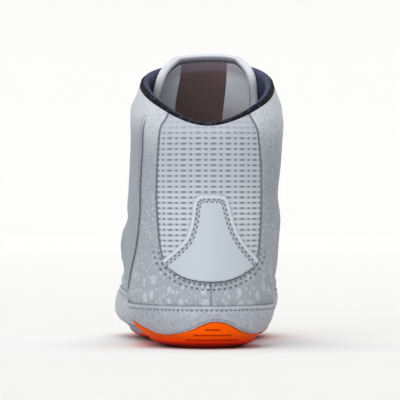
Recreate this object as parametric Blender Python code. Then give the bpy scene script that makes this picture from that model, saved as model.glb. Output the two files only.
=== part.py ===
"""High-top wrestling shoe for the left foot, standing empty on its sole.

Metres, +Z up. The toe points to +Y and the inner (medial) side is +X. The origin lies on the
floor, under the flat of the heel. The last is one function of a place round the shoe and a
place up its wall, and every piece that follows the foot is worked out from it.
"""

import math
from typing import NamedTuple, Sequence

import bmesh
import bpy
import numpy as np
from mathutils import Vector

# Sizes of the last
LENGTH = 0.286
HEEL_WIDTH = 0.080
BALL_WIDTH = 0.102
ANKLE_WIDTH = 0.090
COLLAR_WIDTH = 0.078
TOE_HEIGHT = 0.050
INSTEP_HEIGHT = 0.090
COLLAR_BACK = 0.130
COLLAR_FRONT = 0.166
HEEL_REACH = 0.040

# Sizes of the sole
TOE_SPRING = 0.009
ARCH_RISE = 0.0025
SOLE_EDGE = 0.0022
SOLE_TURN = 0.0036
SOLE_ROUND = 0.011
GROOVE_DEPTH = 0.0012
GROOVE_WIDTH = 0.003
RIB_DEPTH = 0.0007
RIB_WIDTH = 0.0011

# Sizes of the upper and of what is sewn to it
WALL = 0.0024
RAND_THICKNESS = 0.0014
PATCH_THICKNESS = 0.0010
PANEL_THICKNESS = 0.0009
LINING_THICKNESS = 0.0030
LINING_BEAD = 0.0024
THROAT_WIDTH = 0.030
TONGUE_WIDTH = 0.094
TONGUE_FOOT_WIDTH = 0.052
TONGUE_TOP_WIDTH = 0.052
TONGUE_THICKNESS = 0.0046
INSOLE_THICKNESS = 0.0034
GAP = 0.0003
SEWN_GAP = 0.0005
TONGUE_CLEARANCE = 0.0009
INSOLE_CLEARANCE = 0.0008
CUP_CLEARANCE = 0.0004

# Sizes of the lacing
EYELET_RADIUS = 0.0036
EYELET_HOLE = 0.0019
EYELET_HEIGHT = 0.0008
EYELET_INSET = 0.0075
LACE_RADIUS = 0.0015
LACE_CLEARANCE = 0.0015
LACE_SINK = 0.0030
EYELET_CLEARANCE = 0.0006

# Where the sole's arch and toe spring start and end, as shares of LENGTH
ARCH_START = 0.24
ARCH_END = 0.50
SPRING_START = 0.70

# Share of COLLAR_BACK by which the wall rises in one level at the rim
RIM_RISE = 0.062

# Mesh columns between two stations of a section, and the share of the length at each station
STEPS = 5
STATIONS = (0.12, 0.36, 0.64, 0.90)
COLUMNS = STEPS * (len(STATIONS) + 1)

FOOT = (HEEL_WIDTH, BALL_WIDTH, BALL_WIDTH, BALL_WIDTH)
SHAFT = (ANKLE_WIDTH,) * 4
COLLAR = (COLLAR_WIDTH,) * 4


class Section(NamedTuple):
    """One closed section of the last, as shares of the sizes that it follows.

    back_y, front_y: shares of LENGTH from the back of the sole.
    back_z: share of COLLAR_BACK; front_z: share of front_size; front_x: share of BALL_WIDTH.
    bend: power of the rise from back to front, above 1 where the rise is kept for the toe.
    lateral, medial: half-widths at the four stations, as shares of half of widths.
    """

    back_y: float
    back_z: float
    front_x: float
    front_y: float
    front_z: float
    front_size: float
    bend: float
    lateral: Sequence[float]
    medial: Sequence[float]
    widths: Sequence[float]


SECTIONS = (
    Section(0.032, 0.062, 0.09, 0.958, 0.31, TOE_HEIGHT, 4.5,
            (0.69, 0.61, 0.75, 0.59), (0.68, 0.47, 0.83, 0.73), FOOT),
    Section(0.016, 0.085, 0.10, 0.981, 0.39, TOE_HEIGHT, 4.5,
            (0.82, 0.71, 0.87, 0.66), (0.81, 0.58, 0.89, 0.80), FOOT),
    Section(0.008, 0.131, 0.10, 0.996, 0.53, TOE_HEIGHT, 4.0,
            (0.96, 0.79, 0.915, 0.72), (0.90, 0.67, 0.945, 0.84), FOOT),
    Section(0.006, 0.197, 0.10, 1.000, 0.71, TOE_HEIGHT, 1.6,
            (1.02, 0.83, 0.87, 0.70), (0.96, 0.71, 0.985, 0.82), FOOT),
    Section(0.006, 0.277, 0.09, 0.977, 0.90, TOE_HEIGHT, 1.5,
            (1.03, 0.84, 0.87, 0.63), (0.97, 0.74, 0.94, 0.75), FOOT),
    Section(0.009, 0.361, 0.08, 0.930, 1.05, TOE_HEIGHT, 1.2,
            (1.00, 0.83, 0.88, 0.54), (1.00, 0.78, 0.87, 0.60), FOOT),
    Section(0.014, 0.446, 0.065, 0.860, 0.65, INSTEP_HEIGHT, 1.0,
            (0.96, 0.87, 0.885, 0.46), (1.00, 0.82, 0.81, 0.48), FOOT),
    Section(0.019, 0.531, 0.05, 0.766, 0.73, INSTEP_HEIGHT, 1.0,
            (0.93, 0.88, 0.85, 0.44), (0.98, 0.86, 0.78, 0.46), FOOT),
    Section(0.024, 0.615, 0.04, 0.668, 0.84, INSTEP_HEIGHT, 1.0,
            (0.89, 0.86, 0.81, 0.44), (0.95, 0.88, 0.81, 0.48), FOOT),
    Section(0.028, 0.708, 0.035, 0.573, 1.000, INSTEP_HEIGHT, 1.0,
            (0.76, 0.95, 0.91, 0.53), (0.78, 0.98, 0.96, 0.59), SHAFT),
    Section(0.030, 0.800, 0.035, 0.493, 0.663, COLLAR_FRONT, 1.0,
            (0.73, 0.94, 0.91, 0.58), (0.76, 1.00, 0.98, 0.62), SHAFT),
    Section(0.028, 0.885, 0.04, 0.437, 0.807, COLLAR_FRONT, 0.9,
            (0.70, 0.925, 0.905, 0.58), (0.73, 1.01, 1.00, 0.64), SHAFT),
    Section(0.026, 0.954, 0.05, 0.407, 0.916, COLLAR_FRONT, 0.75,
            (0.65, 0.915, 0.905, 0.57), (0.70, 1.00, 1.00, 0.68), SHAFT),
    Section(0.035, 1.000, 0.056, 0.388, 1.000, COLLAR_FRONT, 0.62,
            (0.67, 0.94, 0.95, 0.57), (0.74, 1.03, 1.06, 0.78), COLLAR),
    Section(0.038, 1.062, 0.059, 0.381, 1.066, COLLAR_FRONT, 0.62,
            (0.63, 0.89, 0.91, 0.55), (0.71, 0.99, 1.03, 0.77), COLLAR),
)

# Places up the wall, counted in sections
FEATHER = 0.0
RAND_LEVELS = (1.0, 1.5, 2.0, 3.0)
THROAT_FOOT = 6.5
THROAT_OPENED = 9.0
LINING_FOOT = 10.0
PANEL_TOP = 12.3
RIM = 13.0
EDGE_PLAY = 0.03
WALL_LEVELS = (0.0, 0.5, 1.0, 1.5, 2.0, 3.0, 4.0, 5.0, 6.0, 6.5, 7.0, 8.0, 8.5, 9.0, 9.5, 10.0,
               10.5, 11.0, 12.0, 12.5, 13.0)
EYELET_LEVELS = (7.1, 7.9, 8.7, 9.5, 10.3, 11.1, 11.9)
PATCH_LEVELS = (3.5, 4.0, 5.0, 6.0, 7.0, 8.0, 9.0, 9.5)
TONGUE_SHOULDER = 12.5
TONGUE_LEVELS = (6.0, 7.0, 8.0, 9.0, 10.0, 11.0, 12.0, 12.6, 13.1, 13.45, 13.7)

# Height of the sole's upper edge round the shoe: place round it, then the height
WAVE_LATERAL = ((0.0, 0.0165), (0.042, 0.0119), (0.095, 0.0097), (0.135, 0.0089), (0.18, 0.0097),
                (0.205, 0.0123), (0.25, 0.0170), (0.36, 0.0120), (0.50, 0.0100), (0.68, 0.0110),
                (0.84, 0.0150), (1.0, 0.0240))
WAVE_MEDIAL = ((0.0, 0.0165), (0.02, 0.0170), (0.046, 0.0157), (0.09, 0.0110), (0.15, 0.0093),
               (0.25, 0.0097), (0.42, 0.0105), (0.56, 0.0155), (0.68, 0.0145), (0.84, 0.0160),
               (1.0, 0.0240))

# Heel patch from behind: share of its height, then half-width as a share of half HEEL_WIDTH
PATCH_BOTTOM = 0.305
PATCH_TOP = 0.690
PATCH_SHIFT = 0.012
PATCH_OUTLINE = ((1.0, 0.0), (1.0, 0.15), (0.955, 0.235), (0.83, 0.285), (0.69, 0.32), (0.56, 0.375),
                 (0.44, 0.46), (0.35, 0.555), (0.26, 0.68), (0.18, 0.64), (0.08, 0.45),
                 (0.016, 0.235), (0.0, 0.0))

# Lateral panel from the side: share of LENGTH from the back, then of COLLAR_FRONT
PANEL_OUTLINE = ((0.095, 0.80), (0.100, 0.70), (0.112, 0.63), (0.120, 0.56), (0.122, 0.48), (0.128, 0.40),
                 (0.145, 0.33), (0.170, 0.27), (0.180, 0.20), (0.180, 0.12), (0.470, 0.12), (0.52, 0.25),
                 (0.60, 0.32), (0.72, 0.35), (0.84, 0.38), (0.88, 0.60), (0.55, 1.2), (0.095, 1.2))

# Tread grooves as shares of LENGTH, and the heel's ribs: height, then reach in columns
GROOVES = (0.22, 0.50, 0.57, 0.64, 0.71)
RIBS = ((0.0114, 0.016), (0.0086, 0.040), (0.0060, 0.058))
RIB_SHIFT = 0.012

# Mesh columns of the heel patch each side of the back, the first one of the eyestay, the last
# place beside the throat that a sheet reaches, and the cells across the tongue
PATCH_COLUMNS = 6
EYESTAY_COLUMN = 20
THROAT_EDGE = 0.985
TONGUE_CELLS = 8
EYELET_SIDES = 8
LACE_SIDES = 4

COLOURS = {
    "outsole": (0.871, 0.114, 0.0, 0.55),
    "rand": (0.418, 0.439, 0.497, 0.85),
    "upper": (0.423, 0.456, 0.509, 0.80),
    "heel_patch": (0.503, 0.552, 0.604, 0.55),
    "side_panel": (0.418, 0.445, 0.497, 0.70),
    "eyestay": (0.418, 0.445, 0.497, 0.70),
    "collar_lining": (0.045, 0.050, 0.072, 0.90),
    "tongue": (0.400, 0.410, 0.460, 0.90),
    "insole": (0.120, 0.125, 0.150, 0.90),
    "eyelet": (0.100, 0.105, 0.120, 0.50),
    "lace": (0.480, 0.500, 0.540, 0.85),
}


def curvatures(values: np.ndarray, closed: bool) -> np.ndarray:
    """Second derivatives of the cubic spline through evenly spaced values."""
    count = len(values)
    system = np.zeros((count, count))
    right = np.zeros_like(values)
    for i in range(count):
        if closed or 0 < i < count - 1:
            before, after = (i - 1) % count, (i + 1) % count
            system[i, before] += 1.0
            system[i, i] += 4.0
            system[i, after] += 1.0
            right[i] = 6.0 * (values[before] - 2.0 * values[i] + values[after])
        else:
            system[i, i] = 1.0
    return np.linalg.solve(system, right.reshape(count, -1)).reshape(values.shape)


def on_spline(values: np.ndarray, bends: np.ndarray, at: float, closed: bool) -> np.ndarray:
    """The spline at a place counted in values, running straight on past its ends."""
    count = len(values)
    if closed:
        at = at % count
        i = int(at)
        j = (i + 1) % count
    else:
        i = min(max(int(math.floor(at)), 0), count - 2)
        j = i + 1
    b = at - i
    a = 1.0 - b
    curve = ((a**3 - a) * bends[i] + (b**3 - b) * bends[j]) / 6.0
    if not 0.0 <= b <= 1.0:
        curve = curve * 0.0
    return a * values[i] + b * values[j] + curve


def station_points(section: Section) -> np.ndarray:
    """The ten points that a section runs through, from the back round the medial side."""
    back = np.array((0.0, section.back_y * LENGTH - HEEL_REACH, section.back_z * COLLAR_BACK))
    front = np.array((
        section.front_x * BALL_WIDTH,
        section.front_y * LENGTH - HEEL_REACH,
        section.front_z * section.front_size,
    ))
    sides = []
    for sign, shares in ((1.0, section.medial), (-1.0, section.lateral)):
        side = []
        for station, share, width in zip(STATIONS, shares, section.widths):
            point = back + (front - back) * station
            point[0] = sign * share * width / 2
            point[2] = back[2] + (front[2] - back[2]) * station**section.bend
            side.append(point)
        sides.append(side)
    return np.array([back, *sides[0], front, *reversed(sides[1])])


STATION_GRID = np.array([station_points(section) for section in SECTIONS])
STATION_BENDS = curvatures(STATION_GRID, closed=False)
RING_CACHE: dict[float, tuple[np.ndarray, np.ndarray]] = {}


def ring(level: float) -> tuple[np.ndarray, np.ndarray]:
    """The ten points of the section at a level between the table's, with their curvatures."""
    key = round(level, 6)
    if key not in RING_CACHE:
        points = on_spline(STATION_GRID, STATION_BENDS, key, closed=False)
        RING_CACHE[key] = (points, curvatures(points, closed=True))
    return RING_CACHE[key]


def surface(turn: float, level: float) -> np.ndarray:
    """The last's outside at a turn (0 back, 0.5 front, medial side first) and a level."""
    points, bends = ring(level)
    return on_spline(points, bends, turn * len(points), closed=True)


def normal(turn: float, level: float) -> np.ndarray:
    """The unit vector that points out of the last at a turn and a level."""
    step = 0.004
    along = surface(turn + step, level) - surface(turn - step, level)
    up = surface(turn, level + step * 10) - surface(turn, level - step * 10)
    out = np.cross(along, up)
    return out / np.linalg.norm(out)


def on_turn(turn: float, level: float, offset: float) -> np.ndarray:
    """A point at an offset outside the last, at a turn and a level."""
    return surface(turn, level) + normal(turn, level) * offset


def front_rate(level: float) -> float:
    """Metres round the section for each unit of turn, at its front."""
    step = 0.01
    return float(np.linalg.norm(surface(0.5 + step, level) - surface(0.5 - step, level))) / (2 * step)


def throat_half(level: float) -> float:
    """Half of the throat's opening at a level, in turns."""
    share = (level - THROAT_FOOT) / (THROAT_OPENED - THROAT_FOOT)
    return THROAT_WIDTH / 2 * min(max(share, 0.0), 1.0) ** 0.5 / front_rate(level)


def place(column: float, level: float, offset: float) -> np.ndarray:
    """A point at an offset outside the wall.

    column runs from -1 at the throat's lateral edge through 0 at the back to 1 at its medial
    edge; below the throat both ends meet on the vamp's middle line.
    """
    return on_turn(column * (0.5 - throat_half(level)), level, offset)


def level_at_height(column: float, height: float, offset: float = 0.0) -> float:
    """The level at which the wall, or a shell at an offset outside it, reaches a low height."""
    low, high = FEATHER, 5.0
    for _ in range(24):
        middle = (low + high) / 2
        if place(column, middle, offset)[2] < height:
            low = middle
        else:
            high = middle
    return (low + high) / 2


def read_table(table: Sequence[tuple[float, float]], at: float) -> float:
    """A value between the rows of a two-column table, eased with a cosine."""
    for (x0, y0), (x1, y1) in zip(table, table[1:]):
        if at <= x1:
            share = (at - x0) / (x1 - x0)
            return y0 + (y1 - y0) * (1 - math.cos(math.pi * share)) / 2
    return table[-1][1]


def wave_level(column: float) -> float:
    """The level of the sole's upper edge in a column."""
    table = WAVE_LATERAL if column < 0 else WAVE_MEDIAL
    return level_at_height(column, read_table(table, abs(column)))


def ground(y: float) -> float:
    """Height of the sole's underside on its middle line: heel, arch, ball and toe spring."""
    arch_start, arch_end = ARCH_START * LENGTH - HEEL_REACH, ARCH_END * LENGTH - HEEL_REACH
    toe_start, toe_end = SPRING_START * LENGTH - HEEL_REACH, LENGTH - HEEL_REACH
    if arch_start < y < arch_end:
        share = (y - arch_start) / (arch_end - arch_start)
        return ARCH_RISE * math.sin(math.pi * share) ** 2
    if y > toe_start:
        return TOE_SPRING * ((y - toe_start) / (toe_end - toe_start)) ** 1.7
    return 0.0


def material_for(name: str) -> bpy.types.Material:
    """The plain material of a sub-part, made once."""
    found = bpy.data.materials.get(name)
    if found:
        return found
    red, green, blue, roughness = COLOURS[name]
    material = bpy.data.materials.new(name)
    material.use_nodes = True
    shader = material.node_tree.nodes["Principled BSDF"]
    shader.inputs["Base Color"].default_value = (red, green, blue, 1.0)
    shader.inputs["Roughness"].default_value = roughness
    shader.inputs["Metallic"].default_value = 0.0
    return material


def add_object(name: str, points: Sequence, faces: Sequence, material: str) -> bpy.types.Object:
    """A closed mesh object with its faces turned outwards and its round parts smooth."""
    mesh = bpy.data.meshes.new(name)
    mesh.from_pydata([tuple(map(float, point)) for point in points], [], faces)
    shape = bmesh.new()
    shape.from_mesh(mesh)
    bmesh.ops.recalc_face_normals(shape, faces=shape.faces)
    if shape.calc_volume(signed=True) < 0:
        bmesh.ops.reverse_faces(shape, faces=shape.faces)
    shape.to_mesh(mesh)
    shape.free()
    mesh.shade_smooth()
    mesh.set_sharp_from_angle(angle=math.radians(40))
    obj = bpy.data.objects.new(name, mesh)
    obj.data.materials.append(material_for(material))
    bpy.context.scene.collection.objects.link(obj)
    return obj


def sweep(rings: Sequence[Sequence], closed: bool) -> tuple[list, list]:
    """Points and faces of closed outlines joined in a row, capped at both ends unless closed."""
    count = len(rings[0])
    points = [point for outline in rings for point in outline]
    faces = []
    for i in range(len(rings) if closed else len(rings) - 1):
        start, following = i * count, ((i + 1) % len(rings)) * count
        for k in range(count):
            m = (k + 1) % count
            faces.append((start + k, start + m, following + m, following + k))
    if not closed:
        faces.append(tuple(range(count)))
        faces.append(tuple(range((len(rings) - 1) * count, len(rings) * count)))
    return points, faces


def ladder(loop: Sequence[int]) -> list[tuple[int, ...]]:
    """Faces that close a loop of vertex numbers, rung by rung from its first to its middle one."""
    count = len(loop)
    faces = []
    for i in range(count // 2):
        corners = (loop[i], loop[i + 1], loop[-i - 1], loop[-i])
        faces.append(tuple(dict.fromkeys(corners)))
    return faces


def around() -> list[float]:
    """The columns of a whole turn: back, medial side, front, lateral side."""
    medial = [i / COLUMNS for i in range(COLUMNS + 1)]
    lateral = [-i / COLUMNS for i in range(COLUMNS - 1, 0, -1)]
    return medial + lateral


def inward(points: Sequence[np.ndarray], distance: float) -> list[np.ndarray]:
    """A flat loop's points moved towards its inside, at right angles to the loop."""
    moved = []
    for i, point in enumerate(points):
        along = points[(i + 1) % len(points)] - points[i - 1]
        side = np.array((-along[1], along[0], 0.0))
        moved.append(point + side / np.linalg.norm(side) * distance)
    return moved


def make_upper() -> bpy.types.Object:
    """The hollow shell: open at the collar, down the throat and underneath."""
    points = []
    number = {}
    for i in range(-COLUMNS, COLUMNS + 1):
        for k, level in enumerate(WALL_LEVELS):
            for side, offset in enumerate((0.0, -WALL)):
                if i == COLUMNS and level <= THROAT_FOOT:
                    number[i, k, side] = number[-COLUMNS, k, side]
                    continue
                number[i, k, side] = len(points)
                points.append(place(i / COLUMNS, level, offset))
    faces = []
    last = len(WALL_LEVELS) - 1
    for i in range(-COLUMNS, COLUMNS):
        for k in range(last):
            for side in (0, 1):
                faces.append(tuple(number[key] for key in (
                    (i, k, side), (i + 1, k, side), (i + 1, k + 1, side), (i, k + 1, side))))
        for k in (0, last):
            faces.append(tuple(number[key] for key in (
                (i, k, 0), (i + 1, k, 0), (i + 1, k, 1), (i, k, 1))))
    for i in (-COLUMNS, COLUMNS):
        for k in range(last):
            if WALL_LEVELS[k] >= THROAT_FOOT:
                faces.append(tuple(number[key] for key in (
                    (i, k, 0), (i, k + 1, 0), (i, k + 1, 1), (i, k, 1))))
    return add_object("upper", points, faces, "upper")


def band(first: int, second: int, count: int) -> list[tuple[int, ...]]:
    """Faces between two closed loops of the same count, given the loops' numbers."""
    faces = []
    for i in range(count):
        j = (i + 1) % count
        faces.append((first * count + i, first * count + j, second * count + j, second * count + i))
    return faces


def make_outsole() -> bpy.types.Object:
    """The rubber cup: wavy edge, rounded sides, arch, toe spring and flats at heel and ball."""
    columns = around()
    count = len(columns)
    edge = [wave_level(column) - EDGE_PLAY for column in columns]
    feather = [place(column, FEATHER, 0.0) for column in columns]
    loops = []
    for share, thickness in ((1.0, SOLE_EDGE), (0.5, SOLE_EDGE), (0.0, SOLE_TURN)):
        loops.append([
            place(column, level * share, thickness) for column, level in zip(columns, edge)])
    for distance, lift in ((SOLE_ROUND * 0.5, 0.13), (SOLE_ROUND, 0.0)):
        loop = inward(feather, distance)
        for point in loop:
            base = ground(point[1])
            point[2] = base + (point[2] - base) * lift
        loops.append(loop)
    outside = len(loops)
    for share in (1.0, 0.8, 0.6, 0.4, 0.2, 0.0):
        loops.append([
            place(column, level * share, CUP_CLEARANCE) for column, level in zip(columns, edge)])
    floor = inward(feather, SOLE_ROUND * 0.4)
    for point in floor:
        point[2] -= 2 * GAP
    loops.append(floor)
    points = [point for loop in loops for point in loop]
    faces = band(0, outside, count)
    for first in range(len(loops) - 1):
        if first != outside - 1:
            faces += band(first, first + 1, count)
    faces += ladder(range((outside - 1) * count, outside * count))
    faces += ladder(range((len(loops) - 1) * count, len(loops) * count))
    return add_object("outsole", points, faces, "outsole")


def make_rand() -> bpy.types.Object:
    """The soft band round the foot of the upper, down to the sole's wavy edge."""
    rings = []
    for column in around():
        low = wave_level(column) + EDGE_PLAY
        levels = [low]
        for level in RAND_LEVELS:
            levels.append(max(level, levels[-1] + EDGE_PLAY))
        outer = [place(column, level, SEWN_GAP + RAND_THICKNESS) for level in levels]
        inner = [place(column, level, SEWN_GAP) for level in reversed(levels)]
        rings.append(outer + inner)
    points, faces = sweep(rings, closed=True)
    return add_object("rand", points, faces, "rand")


def make_insole() -> bpy.types.Object:
    """The footbed, lying on the sole inside the upper's wall."""
    columns = around()
    count = len(columns)
    feather = [place(column, FEATHER, 0.0) for column in columns]
    bottom = inward(feather, SOLE_ROUND * 0.5)
    rim = []
    for column, edge, low in zip(columns, feather, bottom):
        low[2] = edge[2] - GAP
        level = level_at_height(column, low[2] + INSOLE_THICKNESS, -WALL)
        rim.append(place(column, level, -WALL - INSOLE_CLEARANCE))
    top = inward(rim, SOLE_ROUND * 0.1)
    points = bottom + rim + top
    faces = band(0, 1, count) + band(1, 2, count)
    faces += ladder(range(count))
    faces += ladder(range(2 * count, 3 * count))
    return add_object("insole", points, faces, "insole")


def tongue_half(level: float) -> float:
    """Half of the tongue's width at a level, in metres along its surface."""
    foot, top = TONGUE_LEVELS[0], TONGUE_LEVELS[-1]
    if level <= TONGUE_SHOULDER:
        share = min((level - foot) / (LINING_FOOT - foot), 1.0)
        return (TONGUE_FOOT_WIDTH + (TONGUE_WIDTH - TONGUE_FOOT_WIDTH) * share) / 2
    share = (level - TONGUE_SHOULDER) / (top - TONGUE_SHOULDER)
    return (TONGUE_WIDTH - (TONGUE_WIDTH - TONGUE_TOP_WIDTH) * share**4) / 2


def make_tongue() -> bpy.types.Object:
    """The padded tongue under the throat, standing above the collar."""
    rings = []
    for level in TONGUE_LEVELS:
        half = tongue_half(level) / front_rate(level)
        drop = min(max((level - 6.6) / 3.0, 0.0), 1.0)
        outer = -(WALL + TONGUE_CLEARANCE + (LINING_THICKNESS + GAP) * drop)
        outline = []
        for side in (1, -1):
            for k in range(TONGUE_CELLS + 1):
                share = (2 * k / TONGUE_CELLS - 1) * side
                pinch = 0.32 * abs(share) ** 4
                depth = pinch if side == 1 else 1.0 - pinch
                turn = 0.5 - half * share
                outline.append(on_turn(turn, level, outer - TONGUE_THICKNESS * depth))
        rings.append(outline)
    points, faces = sweep(rings, closed=False)
    return add_object("tongue", points, faces, "tongue")


def shell(name: str, columns: Sequence[float], levels: Sequence[float],
          thickness: float, material: str) -> bpy.types.Object:
    """A sheet of one thickness that lies over the upper between two columns and two levels."""
    rings = []
    for column in columns:
        outer = [place(column, level, SEWN_GAP + thickness) for level in levels]
        inner = [place(column, level, SEWN_GAP) for level in reversed(levels)]
        rings.append(outer + inner)
    points, faces = sweep(rings, closed=False)
    return add_object(name, points, faces, material)


def add_cutter(name: str, points: Sequence, faces: Sequence) -> bpy.types.Object:
    """A closed mesh that only cuts others."""
    cutter = add_object(name, points, faces, "upper")
    cutter.hide_render = True
    cutter.display_type = "WIRE"
    return cutter


def cut_with(obj: bpy.types.Object, cutter: bpy.types.Object, operation: str) -> None:
    """Adds a Boolean to an object."""
    boolean = obj.modifiers.new(cutter.name, "BOOLEAN")
    boolean.operation = operation
    boolean.object = cutter
    boolean.solver = "EXACT"


def prism(name: str, outline: Sequence[Sequence[float]]) -> bpy.types.Object:
    """A cutter between an outline and its copy, the second half of the points given."""
    half = len(outline) // 2
    points, faces = sweep([outline[:half], outline[half:]], closed=False)
    return add_cutter(name, points, faces)


def make_heel_patch() -> bpy.types.Object:
    """The smooth bell-shaped patch on the back, cut from a shell by its outline from behind."""
    columns = [i / COLUMNS for i in range(-PATCH_COLUMNS, PATCH_COLUMNS + 1)]
    patch = shell("heel_patch", columns, PATCH_LEVELS, PATCH_THICKNESS, "heel_patch")
    top = PATCH_TOP * COLLAR_BACK
    bottom = PATCH_BOTTOM * COLLAR_BACK
    side = []
    for height, half in PATCH_OUTLINE:
        side.append((half * HEEL_WIDTH / 2, bottom + height * (top - bottom)))
    outline = side + [(-x, z) for x, z in reversed(side) if x > 0.0]
    back, front = -LENGTH, 0.0
    shift = PATCH_SHIFT * HEEL_WIDTH
    ends = [[(x + shift, y, z) for x, z in outline] for y in (back, front)]
    cut_with(patch, prism("heel_patch_outline", ends[0] + ends[1]), "INTERSECT")
    return patch


def panel_columns(first: int, last: int, edge: float) -> list[float]:
    """Mesh columns from one to another, the last one moved in to an edge near the throat."""
    step = 1 if last > first else -1
    columns = [i / COLUMNS for i in range(first, last, step)]
    return columns + [edge]


def make_side_panel() -> bpy.types.Object:
    """The lateral panel from the throat to the side of the heel, with the lateral eyelets."""
    foot = RAND_LEVELS[-1]
    levels = [foot + EDGE_PLAY, *[level for level in WALL_LEVELS if foot < level < PANEL_TOP], PANEL_TOP]
    panel = shell("side_panel", panel_columns(0, -COLUMNS, -THROAT_EDGE), levels,
                  PANEL_THICKNESS, "side_panel")
    outline = [
        (y * LENGTH - HEEL_REACH, z * COLLAR_FRONT) for y, z in PANEL_OUTLINE]
    ends = [[(x, y, z) for y, z in outline] for x in (-2 * BALL_WIDTH, -GAP)]
    cut_with(panel, prism("side_panel_outline", ends[0] + ends[1]), "INTERSECT")
    return panel


def make_eyestay() -> bpy.types.Object:
    """The medial strip beside the throat, with the medial eyelets."""
    foot = THROAT_FOOT + 0.2
    levels = [foot, *[level for level in WALL_LEVELS if foot < level < PANEL_TOP], PANEL_TOP]
    return shell("eyestay", panel_columns(EYESTAY_COLUMN, COLUMNS, THROAT_EDGE), levels,
                 PANEL_THICKNESS, "eyestay")


def make_collar_lining() -> bpy.types.Object:
    """The padded lining inside the collar, rolled over its rim."""
    bead = LINING_BEAD / (COLLAR_BACK * RIM_RISE)
    rise = GAP / (COLLAR_BACK * RIM_RISE)
    inside = WALL + GAP
    depth = inside + LINING_THICKNESS
    outline = [
        (LINING_FOOT, inside), (10.5, inside), (11.0, inside), (12.0, inside), (12.5, inside),
        (RIM + rise, inside), (RIM + rise, WALL * 0.1), (RIM + rise + bead * 0.55, 0.0),
        (RIM + rise + bead, WALL * 0.6), (RIM + rise + bead, inside + LINING_THICKNESS * 0.4),
        (RIM + rise, depth), (12.0, depth),
        (LINING_FOOT, inside + LINING_THICKNESS * 0.3),
    ]
    rings = []
    for i in range(-COLUMNS, COLUMNS + 1):
        column = i / COLUMNS
        if abs(i) == COLUMNS:
            column *= THROAT_EDGE
        rings.append([place(column, level, -offset) for level, offset in outline])
    points, faces = sweep(rings, closed=False)
    return add_object("collar_lining", points, faces, "collar_lining")


def eyelet_turn(level: float, side: int) -> float:
    """The turn of an eyelet's centre: side is 1 on the medial edge and -1 on the lateral one."""
    return side * (0.5 - throat_half(level) - EYELET_INSET / front_rate(level))


def make_eyelet(name: str, level: float, side: int) -> bpy.types.Object:
    """A flat ring round one lace hole."""
    turn = eyelet_turn(level, side)
    out = Vector(normal(turn, level))
    base = SEWN_GAP + PANEL_THICKNESS + EYELET_CLEARANCE
    centre = Vector(on_turn(turn, level, base))
    across = out.orthogonal().normalized()
    up = out.cross(across)
    rings = []
    for i in range(EYELET_SIDES):
        angle = 2 * math.pi * i / EYELET_SIDES
        ray = across * math.cos(angle) + up * math.sin(angle)
        rings.append([
            centre + ray * EYELET_RADIUS,
            centre + ray * (EYELET_RADIUS + EYELET_HOLE) / 2 + out * EYELET_HEIGHT,
            centre + ray * EYELET_HOLE,
        ])
    points, faces = sweep(rings, closed=True)
    return add_object(name, points, faces, "eyelet")


def lace_point(level: float, turn: float) -> np.ndarray:
    """The lace's middle over the throat, lowest half-way between the eyelets."""
    share = min((0.5 - abs(turn)) / throat_half(level), 1.0)
    high = SEWN_GAP + PANEL_THICKNESS + EYELET_CLEARANCE + EYELET_HEIGHT + LACE_CLEARANCE + LACE_RADIUS
    return on_turn(turn, level, high - (1.0 - share**2) * LACE_SINK)


def tube(name: str, route: Sequence[np.ndarray], radius: float) -> bpy.types.Object:
    """A tube with a few flat sides along a route."""
    rings = []
    for i, point in enumerate(route):
        along = Vector(route[min(i + 1, len(route) - 1)] - route[max(i - 1, 0)]).normalized()
        across = along.cross(Vector((0.0, 0.4, 1.0))).normalized()
        up = across.cross(along)
        rings.append([
            Vector(point) + (across * math.cos(angle) + up * math.sin(angle)) * radius
            for angle in (2 * math.pi * k / LACE_SIDES for k in range(LACE_SIDES))])
    points, faces = sweep(rings, closed=False)
    return add_object(name, points, faces, "lace")


def make_lace() -> bpy.types.Object:
    """The crossed lace: two zigzag strands joined where they cross, and the bar at the foot."""
    strands = []
    for side in (1, -1):
        route = []
        for index, level in enumerate(EYELET_LEVELS):
            here = side * (-1) ** index
            if index:
                start = EYELET_LEVELS[index - 1]
                for share in (0.25, 0.5, 0.75):
                    between = start + (level - start) * share
                    reach = 0.5 - eyelet_turn(between, 1)
                    across = here * (2 * share - 1) * reach
                    route.append(lace_point(between, (0.5 - abs(across)) * (1 if across >= 0 else -1)))
            reach = 0.5 - eyelet_turn(level, 1)
            route.append(lace_point(level, here * (0.5 - reach)))
        strands.append(route)
    lace = tube("lace", strands[0], LACE_RADIUS)
    level = EYELET_LEVELS[0]
    reach = 0.5 - eyelet_turn(level, 1)
    bar = []
    for share in (-1.0, -0.5, 0.0, 0.5, 1.0):
        away = abs(share) * reach
        bar.append(lace_point(level, (0.5 - away) * (1 if share >= 0 else -1)))
    for name, route in (("lace_crossing", strands[1]), ("lace_bar", bar)):
        other = tube(name, route, LACE_RADIUS)
        other.hide_render = True
        other.display_type = "WIRE"
        cut_with(lace, other, "UNION")
    return lace


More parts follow.
